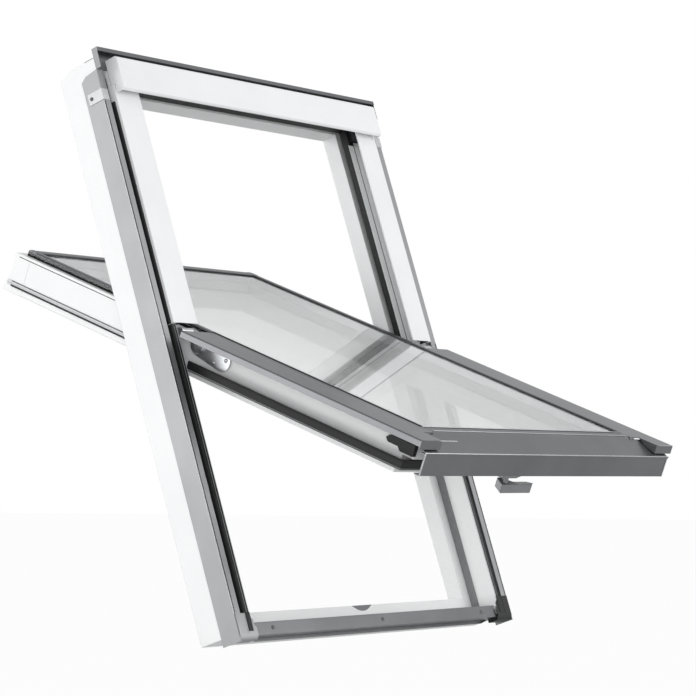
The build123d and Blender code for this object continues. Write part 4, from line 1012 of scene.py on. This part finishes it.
@dataclass
class SashTrims:
    """Thin seals, beads and lines on the sash, some of them painted highlights and shade lines:
    too fine for the solids.

    Attributes:
        lap_u: Inner edge of the side covers.
        cover_end: Upper end of the side covers.
        cladding_edge: Upper edge of the bottom cladding on the glass.
        cover_front: Front edge of the side covers' ends, up the sash and outward.
        cover_ends: Inner and outer end of that edge.
        fold: Fold of the bottom cladding, up the sash and outward.
        fold_half: Half length of the bright bead that paints the highlight along that fold.
        nose: Place of the bright bead that paints the highlight along the bottom bar's nose, up
            the sash and outward.
        bar_half: Half length of the bottom bar.
        bar_low: Inner edge of the bottom bar.
        stile_u: Outer face of the sash's stiles.
        stile_run: Run of the black lines that paint shade along the free upper half of the
            stiles.
        stile_line: Height of the black line that paints a groove's shade on the stile's outer
            face.
        upper_seal_u: Outer face of the upper seals.
        upper_seal: Lower and upper edge of the upper seals.
        seal_u: Outer face of the sash seal.
        seal_edges: Lower and upper edge of the sash seal.
        seal_run: Run of the sash seal, from its front face to its upper end.
        fine_bead: Radius of the beads and lines along folds and covers; the bright beads paint
            highlights.
        glass_highlight: Radius of the bright bead that paints the highlight along the pane's
            lower edge.
        nose_highlight: Radius of the bright bead that paints the highlight along the nose.
        end_highlight: Radius of the bright beads that paint highlights on the bar's ends.
        rib: Radius of the ribs on the sash seal; the grey ones paint highlight lines on the black
            seal.
        shade_line_rise: How far the black lines that paint shade at the upper seals' edges stand
            off their face.
    """

    lap_u: float = 298.0
    cover_end: float = 505.0
    cladding_edge: float = 63.5
    cover_front: Pair = (0.53, -0.6)
    cover_ends: Pair = (332.0, 378.5)
    fold: Pair = (45.0, 0.2)
    fold_half: float = 290.0
    nose: Pair = (-5.4, -18.9)
    bar_half: float = 366.0
    bar_low: float = -55.6
    stile_u: float = 321.0
    stile_run: Pair = (556.0, 944.5)
    stile_line: float = -14.2
    upper_seal_u: float = 323.5
    upper_seal: Pair = (-67.0, -57.0)
    seal_u: float = 347.5
    seal_edges: Pair = (-64.5, -48.5)
    seal_run: Pair = (44.0, 499.8)
    fine_bead: float = 0.7
    glass_highlight: float = 0.75
    nose_highlight: float = 1.1
    end_highlight: float = 0.9
    rib: float = 0.8
    shade_line_rise: float = 0.4

    def joint_section(self) -> Points:
        """Draw the low seal along the joint between side cover and glass.

        Returns:
            The corners of its section.
        """
        return (
            (self.lap_u - 0.8, 0.0),
            (self.lap_u - 0.8, 0.8),
            (self.lap_u, 1.05),
            (self.lap_u + 0.8, 0.8),
            (self.lap_u + 1.0, 0.0),
        )

    def side_strips(self) -> list[Strip]:
        """List the strips that both sides have.

        Returns:
            The strips, not yet built.
        """
        low, high = self.upper_seal
        joint_run = (self.cladding_edge + 0.5, self.cover_end - 1.0)
        front = round_section(*self.cover_front, self.fine_bead)
        groove = flat_section(
            (self.stile_u + 0.05, self.stile_u + 0.3),
            (self.stile_line - 0.6, self.stile_line + 0.6),
        )
        seal_face = (self.upper_seal_u + 0.02, self.upper_seal_u + self.shade_line_rise)
        top_shade_line = flat_section(seal_face, (high - 1.3, high))
        low_shade_line = flat_section(seal_face, (low, low + 3.2))
        bar_end = round_section(self.bar_half - 0.7, self.nose[0] + 0.9, self.end_highlight)
        bar_run = (self.bar_low, self.nose[1])
        high_rib = round_section(self.seal_u, self.seal_edges[1] - 2.2, self.rib)
        low_highlight_rib = round_section(self.seal_u, self.seal_edges[0] + 2.0, self.rib)
        # Bright beads paint highlights on the cover fronts and the bar's ends; black strips paint
        # shade along the stiles and at the upper seals' edges; the grey low rib paints a
        # highlight line on the sash seal
        bead = PAINTED_HIGHLIGHT_ALUMINIUM
        return [
            Strip("cover_front_highlight", front, self.cover_ends, bead, "cladding_grey", axis=0),
            Strip("stile_shade_line", groove, self.stile_run),
            Strip("upper_seal_top_shade_line", top_shade_line, self.stile_run),
            Strip("upper_seal_low_shade_line", low_shade_line, self.stile_run),
            Strip("bar_end_highlight", bar_end, bar_run, bead, "cladding_grey", axis=2),
            Strip("cover_joint_seal", self.joint_section(), joint_run),
            Strip("seal_high_rib", high_rib, self.seal_run),
            Strip("seal_low_highlight_rib", low_highlight_rib, self.seal_run, LEDGE_SEAL_AND_PAINTED_HIGHLIGHT),
        ]

    def cross_strips(self) -> list[Strip]:
        """List the beads and ribs that run across the sash.

        Returns:
            The strips, not yet built.
        """
        pane_half = self.lap_u - 1.5
        pane = (-pane_half, pane_half)
        fold_run = (-self.fold_half, self.fold_half)
        nose_run = (-self.bar_half, self.bar_half)
        fold = round_section(*self.fold, self.fine_bead)
        glass_edge = round_section(self.cladding_edge - 0.9, 0.3, self.glass_highlight)
        glass_line = round_section(self.cladding_edge - 4.6, 0.15, self.fine_bead)
        nose = round_section(*self.nose, self.nose_highlight)
        rib = round_section(self.seal_run[0], self.seal_edges[0] + 2.0, self.rib)
        rib_run = (-self.seal_u, self.seal_u)
        # Bright beads paint highlights along the fold, the pane's lower edge and the nose; the
        # grey front rib paints a highlight line on the sash seal
        bead = PAINTED_HIGHLIGHT_ALUMINIUM
        return [
            Strip("fold_highlight", fold, fold_run, bead, "cladding_grey", axis=0),
            Strip("bottom_glass_highlight", glass_edge, pane, bead, "cladding_grey", axis=0),
            Strip("bottom_glass_line", glass_line, pane, axis=0),
            Strip("nose_highlight", nose, nose_run, bead, "cladding_grey", axis=0),
            Strip("seal_front_highlight_rib", rib, rib_run, LEDGE_SEAL_AND_PAINTED_HIGHLIGHT, axis=0),
        ]

    def build(self) -> None:
        """Build both sides' strips and those across the sash."""
        for hand in Hand:
            for strip in self.side_strips():
                strip.build(PLACES.sash, "sash", hand)
        for strip in self.cross_strips():
            strip.build(PLACES.sash, "sash")


@dataclass
class HingeDisc:
    """Friction discs riveted on each sash hinge plate: a stack of thin stepped steel rings.

    Attributes:
        face_u: Outer face of the hub, across the window.
        place_a: Centre up the sash.
        place_b: Centre outward.
        outline: Radius and height of each step of the turned face, in millimetres.
        sides: Facets round the disc.
        smooth_below: Faces that meet flatter than this many degrees shade as one surface.
    """

    face_u: float = 330.0
    place_a: float = 507.0
    place_b: float = -24.0
    outline: Points = (
        (9.6, -1.2),
        (9.6, -0.2),
        (9.1, 0.3),
        (7.4, 0.3),
        (7.0, -0.3),
        (6.2, -0.3),
        (5.8, 0.9),
        (4.2, 1.4),
        (3.0, 1.4),
        (2.6, 0.5),
        (0.0, 0.5),
    )
    sides: int = 48
    smooth_below: float = 25.0

    def build(self, hand: Hand) -> bpy.types.Object:
        """Turn the stepped face and seat it on the hub.

        Args:
            hand: Side of the window.

        Returns:
            The disc.
        """
        mesh = bmesh.new()
        outline = [Vector((radius, 0.0, height)) for radius, height in self.outline]
        turn_round(mesh, outline, self.sides)
        rim = [e for e in mesh.edges if e.is_boundary]
        bmesh.ops.contextual_create(mesh, geom=rim)
        seat = Matrix.Translation((hand.value * self.face_u, self.place_a, self.place_b))
        place = PLACES.sash @ seat @ hand.outward
        name = f"hinge_disc_{hand.word}"
        return new_piece(name, mesh, place, "sash", ZINC_PLATE, self.smooth_below)


@dataclass(frozen=True)
class Panel:
    """A square soft light that faces the window.

    Attributes:
        name: Name of the light.
        place: Where it hangs, in metres.
        side: Its side, in metres.
        watts: Its power.
    """

    name: str
    place: tuple[float, float, float]
    side: float
    watts: float

    def hang(self, target: Vector) -> None:
        """Hang the panel and turn it to a point.

        Args:
            target: Point that it faces, in metres.
        """
        lamp = bpy.data.lights.new(self.name, "AREA")
        lamp.shape = "SQUARE"
        lamp.size = self.side
        lamp.energy = self.watts
        panel = bpy.data.objects.new(self.name, lamp)
        panel.location = self.place
        aim = target - Vector(self.place)
        panel.rotation_euler = aim.to_track_quat("-Z", "Y").to_euler()
        bpy.context.scene.collection.objects.link(panel)


@dataclass
class Studio:
    """Pale floor, plain soft light and the camera at the photograph's viewing angle.

    Attributes:
        camera_mm: Place of the lens in row-frame millimetres.
        sight: Direction in which it looks.
        focal_pixels: Focal length in pixels of the square picture.
        picture_pixels: Side of that picture.
        sensor_mm: Width of the camera's sensor.
        view_depth: How far the camera sees, in metres.
        floor_z: Height of the floor, in metres.
        floor_half: Half the side of the floor, in metres.
        floor_tone: Colour of the matt floor, sRGB hex.
        floor_white: Share of plain white in the floor where the camera or the glass looks at it.
        room_tone: Colour of the even light of the room, sRGB hex.
        room_light: Strength of that light.
        middle: Point of the window that the light panels face, in metres.
        panels: A panel on the left, a smaller one by the camera and a large one in front.
    """

    camera_mm: tuple[float, float, float] = (-3547.5, -2634.8, 245.6)
    sight: tuple[float, float, float] = (0.8026, 0.5943, 0.0509)
    focal_pixels: float = 2577.3
    picture_pixels: float = 696.0
    sensor_mm: float = 36.0
    view_depth: float = 60.0
    floor_z: float = -0.35
    floor_half: float = 30.0
    floor_tone: str = "#CFCFCF"
    floor_white: float = 0.96
    room_tone: str = "#F4F5F6"
    room_light: float = 0.75
    middle: tuple[float, float, float] = (0.0, 0.0, 0.45)
    panels: tuple[Panel, ...] = (
        Panel("left_panel", (-3.2, 2.3, 0.8), 2.1, 32.0),
        Panel("low_fill_panel", (-3.9, -2.8, 0.3), 1.5, 50.0),
        Panel("front_panel", (1.9, -3.3, 1.4), 2.8, 57.0),
    )

    def build(self) -> None:
        """Set up floor, world, light panels and camera."""
        self.lay_floor()
        self.light_world()
        for panel in self.panels:
            panel.hang(Vector(self.middle))
        self.place_camera()
        bpy.context.scene.view_settings.view_transform = "Standard"

    @staticmethod
    def looked_at(tree: bpy.types.NodeTree) -> bpy.types.NodeSocket:
        """Tell rays that come from the camera or through the glass from all others.

        Args:
            tree: Node tree that asks.

        Returns:
            A socket that is one for those rays and nought for the others.
        """
        path = add_node(tree, "ShaderNodeLightPath")
        seen = add_node(
            tree,
            "ShaderNodeMath",
            {0: path.outputs["Is Camera Ray"], 1: path.outputs["Is Transmission Ray"]},
            operation="MAXIMUM",
        )
        return seen.outputs["Value"]

    def lay_floor(self) -> None:
        """Lay a wide pale floor under the window."""
        mesh = bmesh.new()
        bmesh.ops.create_grid(mesh, x_segments=1, y_segments=1, size=self.floor_half)
        bmesh.ops.translate(mesh, vec=(0.0, 0.0, self.floor_z), verts=mesh.verts)
        data = bpy.data.meshes.new("studio_floor")
        mesh.to_mesh(data)
        mesh.free()
        material = bpy.data.materials.new("matt_white_studio_floor")
        material.use_nodes = True
        tree = material.node_tree
        tree.nodes.clear()
        matt = add_node(tree, "ShaderNodeBsdfDiffuse", Color=linear(self.floor_tone))
        white = add_node(tree, "ShaderNodeEmission", Color=linear("#FFFFFF"), Strength=1.0)
        share = add_node(
            tree, "ShaderNodeMath", {0: self.looked_at(tree)}, operation="MULTIPLY"
        )
        share.inputs[1].default_value = self.floor_white
        mixed = add_node(
            tree,
            "ShaderNodeMixShader",
            {0: share.outputs["Value"], 1: matt.outputs["BSDF"], 2: white.outputs["Emission"]},
        )
        add_node(tree, "ShaderNodeOutputMaterial", {"Surface": mixed.outputs["Shader"]})
        data.materials.append(material)
        floor = bpy.data.objects.new("studio_floor", data)
        bpy.context.scene.collection.objects.link(floor)

    def light_world(self) -> None:
        """Light the room evenly, white where the camera and the glass look."""
        world = bpy.data.worlds.new("studio_world")
        bpy.context.scene.world = world
        world.use_nodes = True
        tree = world.node_tree
        tree.nodes.clear()
        room = add_node(
            tree, "ShaderNodeBackground", Color=linear(self.room_tone), Strength=self.room_light
        )
        white = add_node(tree, "ShaderNodeBackground", Color=linear("#FFFFFF"), Strength=1.0)
        mixed = add_node(
            tree,
            "ShaderNodeMixShader",
            {
                0: self.looked_at(tree),
                1: room.outputs["Background"],
                2: white.outputs["Background"],
            },
        )
        add_node(tree, "ShaderNodeOutputWorld", {"Surface": mixed.outputs["Shader"]})

    def place_camera(self) -> None:
        """Stand the camera where the photograph was taken from."""
        lens = bpy.data.cameras.new("photograph_view")
        lens.sensor_width = self.sensor_mm
        lens.sensor_fit = "HORIZONTAL"
        lens.lens = self.focal_pixels / self.picture_pixels * self.sensor_mm
        lens.clip_end = self.view_depth
        camera = bpy.data.objects.new("photograph_view", lens)
        camera.location = Vector(self.camera_mm) * MM
        camera.rotation_euler = Vector(self.sight).to_track_quat("-Z", "Y").to_euler()
        bpy.context.scene.collection.objects.link(camera)
        bpy.context.scene.camera = camera


def carried() -> list[CarriedNodes]:
    """List the CAD nodes that keep their own solids, by finish.

    Returns:
        Groups of nodes with their finish and edge.
    """
    frame_timbers = both("frame_jamb") + ["frame_head", "frame_sill"]
    sash_timbers = both("sash_stile") + ["sash_bottom_rail", "sash_top_rail"]
    white_sheets = both("upper_cover") + ["hood"] + both("hood_cap")
    grey_sheets = ["head_tray", "sill_cladding", "bottom_cladding", "bottom_bar"]
    grey_sheets += both("side_cover")
    mouldings = ["sill_corner_right"] + both("cover_end") + both("cover_plug")
    mouldings += both("guide_block") + both("hood_bracket")
    black_seals = both("channel_seal") + ["frame_seal", "sash_seal"]
    plated = both("hinge_frame") + both("hinge_sash") + ["latch_bolt"]
    return [
        CarriedNodes(WHITE_LACQUER, TIMBER_EDGE, frame_timbers),
        CarriedNodes(WHITE_LACQUER, TIMBER_EDGE, sash_timbers),
        CarriedNodes(WHITE_POWDER, SHEET_EDGE, white_sheets),
        CarriedNodes(SILVER_POWDER, SHEET_EDGE, both("side_cladding")),
        CarriedNodes(GREY_POWDER, SHEET_EDGE, grey_sheets),
        CarriedNodes(SILVER_POWDER, MOULDED_EDGE, ["sill_corner_left"]),
        CarriedNodes(BLACK_NYLON, MOULDED_EDGE, mouldings),
        CarriedNodes(BLACK_SEAL_AND_PAINTED_SHADE, None, black_seals),
        CarriedNodes(GREY_BEAD, None, ["glazing_trim"]),
        CarriedNodes(GREY_SEAL_AND_PAINTED_HIGHLIGHT, None, both("upper_seal")),
        CarriedNodes(LEDGE_SEAL_AND_PAINTED_HIGHLIGHT, None, both("ledge_seal")),
        CarriedNodes(SATIN_ZINC, PRESSED_EDGE, both("cladding_strap")),
        CarriedNodes(DARK_STEEL, PRESSED_EDGE, ["keeper"]),
        CarriedNodes(ZINC_PLATE, None, plated),
        CarriedNodes(SATIN_HANDLE, PRESSED_EDGE, ["handle_base", "handle_lever"]),
        CarriedNodes(FLOAT_GLASS, None, ["glass_outer", "glass_inner"]),
        CarriedNodes(SPACER_ALUMINIUM, None, ["glass_spacer"]),
        CarriedNodes(EDGE_SEALANT, None, ["glass_edge_seal"]),
    ]


def main() -> None:
    """Build the dressed window in order."""
    logging.basicConfig(level=logging.INFO, format="%(name)s: %(message)s")
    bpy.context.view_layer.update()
    for group in carried():
        group.dress()
    Fasteners().build()
    GlassGasket().build()
    JambTrims().build()
    SashTrims().build()
    for hand in Hand:
        HingeDisc().build(hand)
    Studio().build()


if __name__ == "__main__":
    main()
